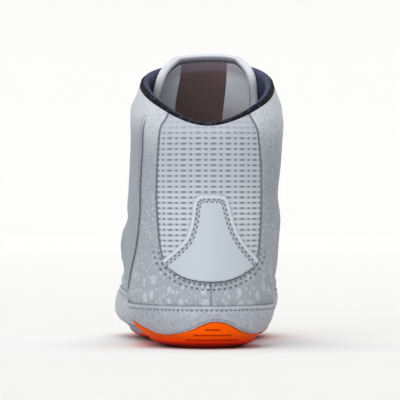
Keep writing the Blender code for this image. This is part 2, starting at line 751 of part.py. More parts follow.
def cut_tread(outsole: bpy.types.Object) -> None:
    """Grooves across the underside and the short ribs low on the heel's back."""
    points, faces = [], []
    for share in GROOVES:
        y = share * LENGTH - HEEL_REACH
        start = len(points)
        for z in (-GROOVE_DEPTH * 4, GROOVE_DEPTH + ground(y)):
            for x, side in ((-BALL_WIDTH, -1), (BALL_WIDTH, -1), (BALL_WIDTH, 1), (-BALL_WIDTH, 1)):
                points.append((x, y + side * GROOVE_WIDTH / 2, z))
        box = ((0, 1, 2, 3), (4, 5, 6, 7), (0, 1, 5, 4), (1, 2, 6, 5), (2, 3, 7, 6), (3, 0, 4, 7))
        faces += [tuple(start + k for k in face) for face in box]
    cut_with(outsole, add_cutter("tread_grooves", points, faces), "DIFFERENCE")
    points, faces = [], []
    for height, reach in RIBS:
        rings = []
        for i in range(-4, 5):
            column = RIB_SHIFT + reach * i / 4
            levels = [level_at_height(column, height + side * RIB_WIDTH / 2, SOLE_EDGE)
                      for side in (-1, 1)]
            rings.append([place(column, levels[0], SOLE_EDGE - RIB_DEPTH),
                          place(column, levels[1], SOLE_EDGE - RIB_DEPTH),
                          place(column, levels[1], SOLE_TURN),
                          place(column, levels[0], SOLE_TURN)])
        more, skins = sweep(rings, closed=False)
        faces += [tuple(k + len(points) for k in skin) for skin in skins]
        points += more
    cut_with(outsole, add_cutter("heel_ribs", points, faces), "DIFFERENCE")


def main() -> None:
    """Clears the scene and builds the shoe."""
    for obj in list(bpy.data.objects):
        bpy.data.objects.remove(obj, do_unlink=True)
    make_upper()
    cut_tread(make_outsole())
    make_rand()
    make_insole()
    make_tongue()
    make_collar_lining()
    make_heel_patch()
    make_side_panel()
    make_eyestay()
    for side, word in ((1, "medial"), (-1, "lateral")):
        for index, level in enumerate(EYELET_LEVELS):
            make_eyelet(f"eyelet_{word}_{index + 1}", level, side)
    make_lace()


main()
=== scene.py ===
"""The looks of a high-top wrestling shoe for the left foot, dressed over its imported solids.

Metres, +Z up, toe to +Y, inner side to +X. The shoe's form is one function of a place round the
last and a place up it, the same as the solids follow. Each sheet of cloth or leather is a grid
fitted to that form, trimmed to its own outline and given its thickness.
"""

from __future__ import annotations

import logging
import math
from dataclasses import dataclass
from enum import Enum
from typing import Mapping, NamedTuple, Sequence, Union

import bmesh
import bpy
import numpy as np
from mathutils import Matrix, Vector

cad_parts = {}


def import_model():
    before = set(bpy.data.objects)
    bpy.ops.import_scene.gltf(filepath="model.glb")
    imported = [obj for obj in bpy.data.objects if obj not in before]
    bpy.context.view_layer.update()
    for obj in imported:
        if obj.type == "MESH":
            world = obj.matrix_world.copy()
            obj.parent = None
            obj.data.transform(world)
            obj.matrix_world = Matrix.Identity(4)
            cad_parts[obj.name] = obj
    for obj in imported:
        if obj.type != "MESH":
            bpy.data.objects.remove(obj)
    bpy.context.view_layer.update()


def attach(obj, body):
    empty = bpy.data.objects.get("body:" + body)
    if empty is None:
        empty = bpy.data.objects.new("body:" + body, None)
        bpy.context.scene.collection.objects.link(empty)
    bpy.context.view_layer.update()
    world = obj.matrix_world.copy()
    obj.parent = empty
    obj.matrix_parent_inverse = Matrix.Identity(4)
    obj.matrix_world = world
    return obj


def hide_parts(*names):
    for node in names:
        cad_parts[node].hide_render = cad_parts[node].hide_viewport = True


LOG = logging.getLogger("shoe")
BODY = "root"
MM = 0.001

# Sizes of the last, as the solids have them
LENGTH = 0.286
HEEL_WIDTH = 0.080
BALL_WIDTH = 0.102
ANKLE_WIDTH = 0.090
COLLAR_WIDTH = 0.078
TOE_HEIGHT = 0.050
INSTEP_HEIGHT = 0.090
COLLAR_BACK = 0.130
COLLAR_FRONT = 0.166
HEEL_REACH = 0.040
TOE_SPRING = 0.009
ARCH_RISE = 0.0025
THROAT_WIDTH = 0.030
WALL = 0.0024
STATIONS = (0.12, 0.36, 0.64, 0.90)

# Levels up the wall, counted in sections
RAND_TOP = 3.0
THROAT_FOOT = 6.5
LINING_FOOT = 10.0
RIM = 13.0
TONGUE_TOP = 13.7
THROAT_EDGE = 0.985

# About how long a column and a level are beside the throat
COLUMN_LENGTH = 150 * MM
LEVEL_HEIGHT = 12 * MM

# Place along the length towards which the sole's and the insole's middle lines draw in
MIDWAY = 0.085

# Half of the stretch of columns over which the sole's edge is smoothed
WAVE_REACH = 0.022

# The back's middle line as the camera sees it, across from the last's own
MIDDLE = 1.1 * MM

FOOT = (HEEL_WIDTH, BALL_WIDTH, BALL_WIDTH, BALL_WIDTH)
SHAFT = (ANKLE_WIDTH,) * 4
COLLAR = (COLLAR_WIDTH,) * 4


class Section(NamedTuple):
    """One closed section of the last, as shares of the sizes that it follows."""

    back_y: float
    back_z: float
    front_x: float
    front_y: float
    front_z: float
    front_size: float
    bend: float
    lateral: Sequence[float]
    medial: Sequence[float]
    widths: Sequence[float]


SECTIONS = (
    Section(0.032, 0.062, 0.09, 0.958, 0.31, TOE_HEIGHT, 4.5,
            (0.69, 0.61, 0.75, 0.59), (0.68, 0.47, 0.83, 0.73), FOOT),
    Section(0.016, 0.085, 0.10, 0.981, 0.39, TOE_HEIGHT, 4.5,
            (0.82, 0.71, 0.87, 0.66), (0.81, 0.58, 0.89, 0.80), FOOT),
    Section(0.008, 0.131, 0.10, 0.996, 0.53, TOE_HEIGHT, 4.0,
            (0.96, 0.79, 0.915, 0.72), (0.90, 0.67, 0.945, 0.84), FOOT),
    Section(0.006, 0.197, 0.10, 1.000, 0.71, TOE_HEIGHT, 1.6,
            (1.02, 0.83, 0.87, 0.70), (0.96, 0.71, 0.985, 0.82), FOOT),
    Section(0.006, 0.277, 0.09, 0.977, 0.90, TOE_HEIGHT, 1.5,
            (1.03, 0.84, 0.87, 0.63), (0.97, 0.74, 0.94, 0.75), FOOT),
    Section(0.009, 0.361, 0.08, 0.930, 1.05, TOE_HEIGHT, 1.2,
            (1.00, 0.83, 0.88, 0.54), (1.00, 0.78, 0.87, 0.60), FOOT),
    Section(0.014, 0.446, 0.065, 0.860, 0.65, INSTEP_HEIGHT, 1.0,
            (0.96, 0.87, 0.885, 0.46), (1.00, 0.82, 0.81, 0.48), FOOT),
    Section(0.019, 0.531, 0.05, 0.766, 0.73, INSTEP_HEIGHT, 1.0,
            (0.93, 0.88, 0.85, 0.44), (0.98, 0.86, 0.78, 0.46), FOOT),
    Section(0.024, 0.615, 0.04, 0.668, 0.84, INSTEP_HEIGHT, 1.0,
            (0.89, 0.86, 0.81, 0.44), (0.95, 0.88, 0.81, 0.48), FOOT),
    Section(0.028, 0.708, 0.035, 0.573, 1.000, INSTEP_HEIGHT, 1.0,
            (0.76, 0.95, 0.91, 0.53), (0.78, 0.98, 0.96, 0.59), SHAFT),
    Section(0.030, 0.800, 0.035, 0.493, 0.663, COLLAR_FRONT, 1.0,
            (0.73, 0.94, 0.91, 0.58), (0.76, 1.00, 0.98, 0.62), SHAFT),
    Section(0.028, 0.885, 0.04, 0.437, 0.807, COLLAR_FRONT, 0.9,
            (0.70, 0.925, 0.905, 0.58), (0.73, 1.01, 1.00, 0.64), SHAFT),
    Section(0.026, 0.954, 0.05, 0.407, 0.916, COLLAR_FRONT, 0.75,
            (0.65, 0.915, 0.905, 0.57), (0.70, 1.00, 1.00, 0.68), SHAFT),
    Section(0.035, 1.000, 0.056, 0.388, 1.000, COLLAR_FRONT, 0.62,
            (0.67, 0.94, 0.95, 0.57), (0.74, 1.03, 1.06, 0.78), COLLAR),
    Section(0.038, 1.062, 0.059, 0.381, 1.066, COLLAR_FRONT, 0.62,
            (0.63, 0.89, 0.91, 0.55), (0.71, 0.99, 1.03, 0.77), COLLAR),
)

# Height of the sole's upper edge: place round the shoe, then the height
WAVE_LATERAL = ((0.0, 0.0165), (0.042, 0.0119), (0.095, 0.0097), (0.135, 0.0089), (0.18, 0.0097),
                (0.205, 0.0123), (0.25, 0.0170), (0.36, 0.0120), (0.50, 0.0100), (0.68, 0.0110),
                (0.84, 0.0150), (1.0, 0.0240))
WAVE_MEDIAL = ((0.0, 0.0165), (0.02, 0.0170), (0.046, 0.0157), (0.09, 0.0110), (0.15, 0.0093),
               (0.25, 0.0097), (0.42, 0.0105), (0.56, 0.0155), (0.68, 0.0145), (0.84, 0.0160),
               (1.0, 0.0240))

# The heel panel's seam from behind, from its top outer end round to its top inner end:
# millimetres across from the last's middle, then up from the floor
PANEL_SEAM = ((-22.0, 140.0), (-24.7, 134.4), (-28.0, 128.4), (-29.2, 115.5), (-30.0, 98.3),
              (-30.0, 85.4), (-28.8, 66.5), (-27.2, 55.3), (-23.9, 48.4), (-15.8, 42.3),
              (-7.4, 39.8), (1.1, 39.0), (11.4, 40.0), (20.4, 43.6), (26.2, 48.2), (29.2, 54.0),
              (30.9, 63.9), (31.8, 85.4), (31.8, 102.6), (30.5, 119.8), (29.1, 128.4),
              (26.0, 134.4), (23.0, 140.0))

# The heel patch's raised border from behind, from its outer tip over the top to its inner tip
PATCH_CREST = ((-26.2, 51.6), (-20.1, 57.0), (-14.2, 63.0), (-11.7, 68.2), (-10.0, 75.1),
               (-9.2, 82.0), (-7.9, 87.1), (-4.4, 89.6), (1.4, 89.8), (7.6, 89.5), (11.1, 87.1),
               (13.0, 80.2), (14.8, 73.4), (17.6, 66.5), (22.1, 59.6), (28.6, 52.2))
PATCH_FOOT = ((28.6, 52.2), (26.7, 48.9), (20.4, 44.4), (11.4, 40.6), (1.1, 39.6), (-7.4, 40.3),
              (-15.8, 42.8), (-24.0, 48.4), (-26.2, 51.6))

# The side panel's rear edge, from the rand up: share of the collar's front height, then of the
# length from the back
REAR_EDGE = ((0.10, 0.182), (0.20, 0.180), (0.27, 0.170), (0.33, 0.145), (0.40, 0.128),
             (0.48, 0.122), (0.56, 0.122), (0.63, 0.116), (0.70, 0.108), (0.80, 0.105),
             (0.90, 0.105))

# Its lower edge from the side, from the rand up to the throat: share of the length, then of the
# collar's front height
LOWER_EDGE = ((0.300, 0.04), (0.460, 0.10), (0.52, 0.25), (0.60, 0.32), (0.72, 0.35),
              (0.84, 0.38), (0.88, 0.60))

# Far corners that close the side panel's outline, in the same shares
OUTLINE_FAR = ((0.9, 1.3), (-0.3, 1.3), (-0.3, 0.02), (0.28, 0.02))


class Crease(NamedTuple):
    """One soft fold: its two ends as columns and levels, its sag in levels, width and depth."""

    column: float
    level: float
    to_column: float
    to_level: float
    sag: float
    width: float
    depth: float


CREASES = (
    Crease(-0.62, 9.0, -0.93, 8.3, 0.35, 5.0 * MM, 1.7 * MM),
    Crease(-0.55, 9.8, -0.90, 9.4, 0.40, 5.5 * MM, 1.1 * MM),
    Crease(0.60, 9.1, 0.90, 8.4, 0.35, 5.0 * MM, 1.7 * MM),
    Crease(0.54, 9.8, 0.88, 9.4, 0.40, 5.5 * MM, 1.1 * MM),
    Crease(-0.40, 8.6, -0.66, 7.6, -0.3, 6.0 * MM, 1.4 * MM),
    Crease(0.40, 8.7, 0.66, 7.7, -0.3, 6.0 * MM, 1.4 * MM),
    Crease(-0.80, 4.9, -0.98, 5.7, -0.2, 4.0 * MM, 1.1 * MM),
    Crease(0.78, 4.8, 0.97, 5.6, -0.2, 4.0 * MM, 1.1 * MM),
    Crease(-0.86, 4.2, -0.99, 5.0, -0.2, 4.5 * MM, 0.8 * MM),
    Crease(0.84, 4.1, 0.99, 4.9, -0.2, 4.5 * MM, 0.8 * MM),
    Crease(-0.36, 12.2, -0.60, 11.6, 0.2, 5.0 * MM, 0.5 * MM),
    Crease(0.36, 12.1, 0.62, 11.5, 0.2, 5.0 * MM, 0.5 * MM),
)


def spline_bends(values: np.ndarray) -> np.ndarray:
    """Second derivatives of the cubic spline through evenly spaced values, free at its ends.

    Args:
        values: the values, along the first axis.

    Returns:
        The second derivatives, in the same shape.
    """
    count = len(values)
    system = np.eye(count)
    right = np.zeros_like(values)
    for i in range(1, count - 1):
        system[i, i - 1:i + 2] = (1.0, 4.0, 1.0)
        right[i] = 6.0 * (values[i - 1] - 2.0 * values[i] + values[i + 1])
    return np.linalg.solve(system, right.reshape(count, -1)).reshape(values.shape)


def eased(table: Sequence[tuple[float, float]], at: np.ndarray) -> np.ndarray:
    """Values between the rows of a two-column table, eased with a cosine.

    Args:
        table: rows of a place and a value.
        at: the places to read.

    Returns:
        The value at each place.
    """
    places = np.array([row[0] for row in table])
    values = np.array([row[1] for row in table])
    i = np.clip(np.searchsorted(places, at) - 1, 0, len(table) - 2)
    share = np.clip((at - places[i]) / (places[i + 1] - places[i]), 0.0, 1.0)
    return values[i] + (values[i + 1] - values[i]) * (1 - np.cos(np.pi * share)) / 2


def smooth(value: np.ndarray, low: float, high: float) -> np.ndarray:
    """A soft step from 0 at low to 1 at high."""
    share = np.clip((value - low) / (high - low), 0.0, 1.0)
    return share * share * (3 - 2 * share)


def hump(value: np.ndarray, middle: float, width: float) -> np.ndarray:
    """A soft bump of height 1 at middle that fades over width."""
    return np.exp(-(((value - middle) / width) ** 2))


class Last:
    """The form of the shoe: a closed section at every level, read at any turn round it."""

    def __init__(self) -> None:
        """Works out the sections' points and the matrix that closes each one smoothly."""
        self.points = np.array([self.station_points(section) for section in SECTIONS])
        self.bends = spline_bends(self.points)
        count = self.points.shape[1]
        system = np.zeros((count, count))
        second = np.zeros((count, count))
        for i in range(count):
            for reach, weight, pull in ((-1, 1.0, 6.0), (0, 4.0, -12.0), (1, 1.0, 6.0)):
                system[i, (i + reach) % count] += weight
                second[i, (i + reach) % count] += pull
        self.closing = np.linalg.solve(system, second)

    @staticmethod
    def station_points(section: Section) -> np.ndarray:
        """The ten points that a section runs through, from the back round the medial side.

        Args:
            section: a row of the table.

        Returns:
            Ten points in metres.
        """
        back = np.array((0.0, section.back_y * LENGTH - HEEL_REACH, section.back_z * COLLAR_BACK))
        front = np.array((
            section.front_x * BALL_WIDTH,
            section.front_y * LENGTH - HEEL_REACH,
            section.front_z * section.front_size,
        ))
        sides = []
        for sign, shares in ((1.0, section.medial), (-1.0, section.lateral)):
            side = []
            for station, share, width in zip(STATIONS, shares, section.widths):
                point = back + (front - back) * station
                point[0] = sign * share * width / 2
                point[2] = back[2] + (front[2] - back[2]) * station**section.bend
                side.append(point)
            sides.append(side)
        return np.array([back, *sides[0], front, *reversed(sides[1])])

    def rings(self, levels: np.ndarray) -> tuple[np.ndarray, np.ndarray]:
        """The ten points of the section at each level, and their second derivatives.

        Args:
            levels: places up the wall.

        Returns:
            The points and the derivatives.
        """
        i = np.clip(np.floor(levels).astype(int), 0, len(self.points) - 2)
        b = (levels - i)[:, None, None]
        a = 1.0 - b
        curve = ((a**3 - a) * self.bends[i] + (b**3 - b) * self.bends[i + 1]) / 6.0
        curve = np.where((b >= 0) & (b <= 1), curve, 0.0)
        points = a * self.points[i] + b * self.points[i + 1] + curve
        return points, np.einsum("ij,njk->nik", self.closing, points)

    def surface(self, turns: np.ndarray, levels: np.ndarray) -> np.ndarray:
        """Points on the last's outside.

        Args:
            turns: 0 at the back, 0.25 on the medial side, 0.5 in front.
            levels: places up the wall.

        Returns:
            A row of coordinates for each pair.
        """
        known, row = np.unique(np.round(levels, 9), return_inverse=True)
        points, bends = self.rings(known)
        count = points.shape[1]
        at = np.mod(turns * count, count)
        i = np.minimum(np.floor(at).astype(int), count - 1)
        k = (i + 1) % count
        b = (at - i)[:, None]
        a = 1.0 - b
        curve = ((a**3 - a) * bends[row, i] + (b**3 - b) * bends[row, k]) / 6.0
        return a * points[row, i] + b * points[row, k] + curve

    def normals(self, turns: np.ndarray, levels: np.ndarray) -> np.ndarray:
        """Unit vectors that point out of the last.

        Args:
            turns: places round the last.
            levels: places up the wall.

        Returns:
            A direction for each pair.
        """
        step = 0.004
        along = self.surface(turns + step, levels) - self.surface(turns - step, levels)
        up = self.surface(turns, levels + step * 10) - self.surface(turns, levels - step * 10)
        out = np.cross(along, up)
        return out / np.linalg.norm(out, axis=1, keepdims=True)

    def front_rate(self, levels: np.ndarray) -> np.ndarray:
        """Metres round the section for each unit of turn, at its front.

        Args:
            levels: places up the wall.

        Returns:
            A rate for each level.
        """
        step = 0.01
        half = np.full_like(levels, 0.5)
        span = self.surface(half + step, levels) - self.surface(half - step, levels)
        return np.linalg.norm(span, axis=1) / (2 * step)

    def throat_half(self, levels: np.ndarray) -> np.ndarray:
        """Half of the throat's opening at each level, in turns."""
        share = np.clip((levels - THROAT_FOOT) / 2.5, 0.0, 1.0) ** 0.5
        return THROAT_WIDTH / 2 * share / self.front_rate(levels)

    def turns(self, columns: np.ndarray, levels: np.ndarray) -> np.ndarray:
        """Turns of columns, which run from -1 at the throat's lateral edge to 1 at its medial."""
        return columns * (0.5 - self.throat_half(levels))

    def place(self, columns: np.ndarray, levels: np.ndarray, offset: Union[float, np.ndarray],
              ) -> np.ndarray:
        """Points at an offset outside the wall.

        Args:
            columns: places round the wall, from -1 to 1.
            levels: places up the wall.
            offset: one distance in metres, or one for each point.

        Returns:
            A row of coordinates for each point.
        """
        return self.on_turn(self.turns(columns, levels), levels, offset)

    def on_turn(self, turns: np.ndarray, levels: np.ndarray, offset: Union[float, np.ndarray],
                ) -> np.ndarray:
        """Points at an offset outside the last, at turns and levels."""
        away = np.broadcast_to(np.asarray(offset, float), turns.shape)[:, None]
        return self.surface(turns, levels) + self.normals(turns, levels) * away

    def level_at(self, columns: np.ndarray, heights: np.ndarray) -> np.ndarray:
        """The level at which the wall reaches each low height.

        Args:
            columns: places round the wall.
            heights: metres above the floor.

        Returns:
            A level for each column.
        """
        low, high = np.zeros_like(columns), np.full_like(columns, 5.0)
        for _ in range(24):
            middle = (low + high) / 2
            below = self.place(columns, middle, 0.0)[:, 2] < heights
            low, high = np.where(below, middle, low), np.where(below, high, middle)
        return (low + high) / 2

    def wave(self, columns: np.ndarray) -> np.ndarray:
        """The level of the sole's upper edge in each column, smoothed over its neighbours.

        Args:
            columns: places round the wall.

        Returns:
            A level for each column.
        """
        near = columns[..., None] + np.linspace(-WAVE_REACH, WAVE_REACH, 9)
        lateral, medial = (eased(table, np.abs(near)) for table in (WAVE_LATERAL, WAVE_MEDIAL))
        return self.level_at(columns, np.where(near < 0, lateral, medial).mean(axis=-1))

    def folds(self, base: np.ndarray) -> np.ndarray:
        """How far the creases push the wall out at places on the last, in metres.

        Args:
            base: the places.

        Returns:
            A distance for each place, below 0 in a trough.
        """
        out = np.zeros(len(base))
        for crease in CREASES:
            t = np.linspace(0.0, 1.0, 60)
            columns = crease.column + (crease.to_column - crease.column) * t
            levels = crease.level + (crease.to_level - crease.level) * t
            levels += crease.sag * np.sin(np.pi * t)
            route = self.place(columns, levels, 0.0)
            nearest = np.full(len(base), np.inf)
            at = np.zeros(len(base))
            for share, point in zip(t, route):
                gap = np.linalg.norm(base - point, axis=1)
                at = np.where(gap < nearest, share, at)
                nearest = np.minimum(nearest, gap)
            q = (nearest / crease.width) ** 2
            fade = np.sin(np.pi * np.clip(at, 0.02, 0.98))
            out -= crease.depth * (1.0 - 0.9 * q) * np.exp(-q) * fade
        return out


def ground(y: np.ndarray) -> np.ndarray:
    """Height of the sole's underside on its middle line: heel, arch, ball and toe spring.

    Args:
        y: places along the shoe's length.

    Returns:
        A height for each place.
    """
    arch_start, arch_end = 0.24 * LENGTH - HEEL_REACH, 0.50 * LENGTH - HEEL_REACH
    toe_start, toe_end = 0.70 * LENGTH - HEEL_REACH, LENGTH - HEEL_REACH
    arch = np.clip((y - arch_start) / (arch_end - arch_start), 0.0, 1.0)
    toe = np.clip((y - toe_start) / (toe_end - toe_start), 0.0, 1.1)
    return ARCH_RISE * np.sin(np.pi * arch) ** 2 + TOE_SPRING * toe**1.7


class Line:
    """A flat curve through given points."""

    def __init__(self, points: Sequence[Sequence[float]], scale: float = 1.0,
                 steps: int = 6) -> None:
        """Rounds the curve with points between those given.

        Args:
            points: places on the curve.
            scale: metres for each unit of the points.
            steps: stretches between two of the points.
        """
        rough = np.array(points, float) * scale
        ends = np.vstack((2 * rough[0] - rough[1], rough, 2 * rough[-1] - rough[-2]))
        fine = []
        for p0, p1, p2, p3 in zip(ends, ends[1:], ends[2:], ends[3:]):
            for t in np.arange(steps) / steps:
                fine.append(0.5 * (2 * p1 + (p2 - p0) * t + (2 * p0 - 5 * p1 + 4 * p2 - p3) * t**2
                                   + (3 * p1 - p0 - 3 * p2 + p3) * t**3))
        self.points = np.array([*fine, rough[-1]])

    def distance(self, across: np.ndarray, up: np.ndarray) -> tuple[np.ndarray, np.ndarray]:
        """How far each point is from the curve, and how far along it the nearest place is.

        Args:
            across: the points' places in one direction.
            up: their places in the other.

        Returns:
            The distances and the places along the curve.
        """
        best = np.full(across.shape, np.inf)
        along = np.zeros(across.shape)
        start = 0.0
        for (x0, y0), (x1, y1) in zip(self.points, self.points[1:]):
            dx, dy = x1 - x0, y1 - y0
            length = max(math.hypot(dx, dy), 1e-9)
            t = np.clip(((across - x0) * dx + (up - y0) * dy) / length**2, 0.0, 1.0)
            gap = np.hypot(across - x0 - t * dx, up - y0 - t * dy)
            nearer = gap < best
            best = np.where(nearer, gap, best)
            along = np.where(nearer, start + t * length, along)
            start += length
        return best, along

    def inside(self, across: np.ndarray, up: np.ndarray) -> np.ndarray:
        """Whether each point lies within the curve, closed from its end to its start.

        Args:
            across: the points' places in one direction.
            up: their places in the other.

        Returns:
            True for each point within.
        """
        found = np.zeros(across.shape, bool)
        for (x0, y0), (x1, y1) in zip(self.points, np.roll(self.points, -1, axis=0)):
            spans = (y0 > up) != (y1 > up)
            run = x0 + (up - y0) * (x1 - x0) / (y1 - y0 if y1 != y0 else 1.0)
            found ^= spans & (across < run)
        return found

    def depth(self, across: np.ndarray, up: np.ndarray) -> np.ndarray:
        """Distance from the curve, above 0 within it and below 0 outside."""
        gap, _ = self.distance(across, up)
        return np.where(self.inside(across, up), gap, -gap)


def only(obj: bpy.types.Object) -> None:
    """Selects one object and makes it the active one.

    Args:
        obj: the object.
    """
    bpy.ops.object.select_all(action="DESELECT")
    obj.select_set(True)
    bpy.context.view_layer.objects.active = obj


def apply_modifier(obj: bpy.types.Object, kind: str, **settings: object) -> None:
    """Adds a modifier with its settings and applies it.

    Args:
        obj: the object.
        kind: the modifier's type.
        **settings: what is set on it.
    """
    only(obj)
    modifier = obj.modifiers.new(kind.title(), kind)
    for name, value in settings.items():
        setattr(modifier, name, value)
    bpy.ops.object.modifier_apply(modifier=modifier.name)


def weld(obj: bpy.types.Object, reach: float = 0.00002, fill: bool = False) -> None:
    """Joins the vertices of an object that meet, and closes its open ends if asked.

    Args:
        obj: the object.
        reach: the distance within which vertices meet.
        fill: whether open ends are closed.
    """
    only(obj)
    bpy.ops.object.mode_set(mode="EDIT")
    bpy.ops.mesh.select_all(action="SELECT")
    bpy.ops.mesh.remove_doubles(threshold=reach)
    if fill:
        bpy.ops.mesh.fill_holes(sides=0)
    bpy.ops.object.mode_set(mode="OBJECT")


def point_out(obj: bpy.types.Object) -> None:
    """Turns the faces of an object to look outwards.

    Args:
        obj: the object.
    """
    only(obj)
    bpy.ops.object.mode_set(mode="EDIT")
    bpy.ops.mesh.select_all(action="SELECT")
    bpy.ops.mesh.normals_make_consistent(inside=False)
    bpy.ops.object.mode_set(mode="OBJECT")


class Sheet:
    """A grid of cloth that is laid out flat, fitted to a form and trimmed to an outline."""

    def __init__(self, name: str, across: int, up: int) -> None:
        """Adds the grid.

        Args:
            name: the piece's name.
            across: cells in one direction.
            up: cells in the other.
        """
        bpy.ops.object.select_all(action="DESELECT")
        bpy.ops.mesh.primitive_grid_add(x_subdivisions=across, y_subdivisions=up, size=1.0)
        self.obj = bpy.context.object
        self.obj.name = name
        self.obj.data.name = name
        self.shape = (up + 1, across + 1)
        flat = np.empty(len(self.obj.data.vertices) * 3)
        self.obj.data.vertices.foreach_get("co", flat)
        self.u = flat.reshape(-1, 3)[:, 0] + 0.5
        self.v = flat.reshape(-1, 3)[:, 1] + 0.5
        self.order = np.lexsort((np.round(self.u, 6), np.round(self.v, 6)))

    def grid(self, values: np.ndarray) -> np.ndarray:
        """Values of the vertices set out in rows and columns."""
        return values[self.order].reshape(*self.shape, *values.shape[1:])

    def flat(self, grid: np.ndarray) -> np.ndarray:
        """Rows and columns of values back in the order of the vertices.

        Args:
            grid: the rows and columns.

        Returns:
            A value for each vertex.
        """
        values = np.empty((len(self.order), *grid.shape[2:]))
        values[self.order] = grid.reshape(len(self.order), *grid.shape[2:])
        return values

    def runs(self, spots: np.ndarray) -> tuple[np.ndarray, np.ndarray]:
        """Metres run along the cloth: across from its middle column, and up from its foot.

        Args:
            spots: a row of coordinates for each vertex.

        Returns:
            The runs across and up, one of each for every vertex.
        """
        grid = self.grid(spots)
        across = np.linalg.norm(np.diff(grid, axis=1), axis=2).cumsum(axis=1)
        across = np.hstack((np.zeros((self.shape[0], 1)), across))
        across -= across[:, [self.shape[1] // 2]]
        up = np.linalg.norm(np.diff(grid, axis=0), axis=2).cumsum(axis=0)
        up = np.vstack((np.zeros((1, self.shape[1])), up))
        return self.flat(across), self.flat(up)

    def fit(self, spots: np.ndarray, pattern: tuple[np.ndarray, np.ndarray]) -> None:
        """Moves the vertices to their places and writes the pattern's coordinates.

        Args:
            spots: a row of coordinates for each vertex.
            pattern: the two directions of the cloth in metres, one value for each vertex.
        """
        mesh = self.obj.data
        mesh.vertices.foreach_set("co", np.ascontiguousarray(spots, np.float32).ravel())
        corners = np.empty(len(mesh.loops), np.int32)
        mesh.loops.foreach_get("vertex_index", corners)
        uv = np.stack([values[corners] for values in pattern], axis=1)
        mesh.uv_layers[0].data.foreach_set("uv", np.ascontiguousarray(uv, np.float32).ravel())
        mesh.update()

    def note(self, **fields: np.ndarray) -> None:
        """Writes named numbers on the vertices, for the finish to read.

        Args:
            **fields: one number for each vertex, under each name.
        """
        for name, values in fields.items():
            field = self.obj.data.attributes.new(name, "FLOAT", "POINT")
            field.data.foreach_set("value", np.ascontiguousarray(values, np.float32))

    def trim(self, depth: np.ndarray) -> None:
        """Cuts away what lies outside an outline, along the vertices that were drawn to it.

        Args:
            depth: each vertex's depth within the outline.
        """
        keep = depth > -0.00004
        shape = bmesh.new()
        shape.from_mesh(self.obj.data)
        shape.verts.ensure_lookup_table()
        for face in list(shape.faces):
            gone = [vert for vert in face.verts if not keep[vert.index]]
            if len(face.verts) == 4 and len(gone) == 1:
                ring = list(face.verts)
                at = ring.index(gone[0])
                bmesh.utils.face_split(face, ring[at - 1], ring[(at + 1) % 4])
        lost = [vert for vert in shape.verts if not keep[vert.index]]
        bmesh.ops.delete(shape, geom=lost, context="VERTS")
        loose = [vert for vert in shape.verts if not vert.link_faces]
        bmesh.ops.delete(shape, geom=loose, context="VERTS")
        shape.to_mesh(self.obj.data)
        shape.free()

    def thicken(self, thickness: float, inner_slot: int = 0) -> None:
        """Gives the cloth its thickness, inwards from the face that was fitted."""
        apply_modifier(self.obj, "SOLIDIFY", thickness=thickness, offset=-1.0,
                       material_offset=inner_slot, material_offset_rim=inner_slot)

    def done(self, angle: float = 50.0) -> bpy.types.Object:
        """Shades the piece smooth but for its sharp edges.

        Args:
            angle: how many degrees make an edge sharp.

        Returns:
            The piece.
        """
        only(self.obj)
        bpy.ops.object.shade_smooth_by_angle(angle=math.radians(angle))
        return self.obj


Spots = tuple[np.ndarray, np.ndarray]


def drawn_to(last: Last, columns: np.ndarray, levels: np.ndarray, outline: Line, side: int,
             cell: float) -> Spots:
    """Moves the places of a grid that lie next to an outline onto it.

    Args:
        last: the form on which the grid lies.
        columns: the grid's columns.
        levels: its levels.
        outline: the outline, seen from behind or from the side.
        side: the axis that runs across the outline, 0 from behind and 1 from the side.
        cell: the size of a cell in metres.

    Returns:
        The columns and levels after the move.
    """
    columns, levels = columns.copy(), levels.copy()
    step = 0.0005

    def depth(column: np.ndarray, level: np.ndarray) -> np.ndarray:
        """Depth within the outline at columns and levels."""
        spots = last.place(column, level, 0.0)
        return outline.depth(spots[:, side], spots[:, 2])

    start = last.place(columns, levels, 0.0)
    across = np.linalg.norm(last.place(columns + 0.001, levels, 0.0) - start, axis=1) / 0.001
    up = np.linalg.norm(last.place(columns, levels + 0.01, 0.0) - start, axis=1) / 0.01
    near = np.abs(outline.depth(start[:, side], start[:, 2])) < 3 * cell
    across, up = across[near], up[near]
    column, level = columns[near], levels[near]
    moved = np.zeros((2, len(column)))
    for _ in range(3):
        here = depth(column, level)
        slope = np.array((depth(column + step / across, level) - here,
                          depth(column, level + step / up) - here)) / step
        moved += slope * (-here / np.maximum((slope**2).sum(axis=0), 0.05))
        column = columns[near] + moved[0] / across
        level = levels[near] + moved[1] / up
    close = np.hypot(*moved) < 0.62 * cell
    index = np.flatnonzero(near)[close]
    columns[index], levels[index] = column[close], level[close]
    return columns, levels


class Wire:
    """A socket of a material, on which Python's operators add Math nodes."""

    def __init__(self, graph: Graph, socket: bpy.types.NodeSocket) -> None:
        """Keeps the socket and the graph in which it is."""
        self.graph = graph
        self.socket = socket

    def __add__(self, other: Value) -> Wire:
        """The sum."""
        return self.graph.maths("ADD", self, other)

    def __radd__(self, other: Value) -> Wire:
        """The sum."""
        return self.graph.maths("ADD", other, self)

    def __sub__(self, other: Value) -> Wire:
        """The difference."""
        return self.graph.maths("SUBTRACT", self, other)

    def __rsub__(self, other: Value) -> Wire:
        """The difference from a number."""
        return self.graph.maths("SUBTRACT", other, self)

    def __mul__(self, other: Value) -> Wire:
        """The product."""
        return self.graph.maths("MULTIPLY", self, other)

    def __truediv__(self, other: Value) -> Wire:
        """The quotient."""
        return self.graph.maths("DIVIDE", self, other)

    def __abs__(self) -> Wire:
        """The size without its sign."""
        return self.graph.maths("ABSOLUTE", self)

    def __pow__(self, power: float) -> Wire:
        """The power."""
        return self.graph.maths("POWER", self, power)


Value = Union[Wire, float]
Colour = tuple[float, float, float, float]


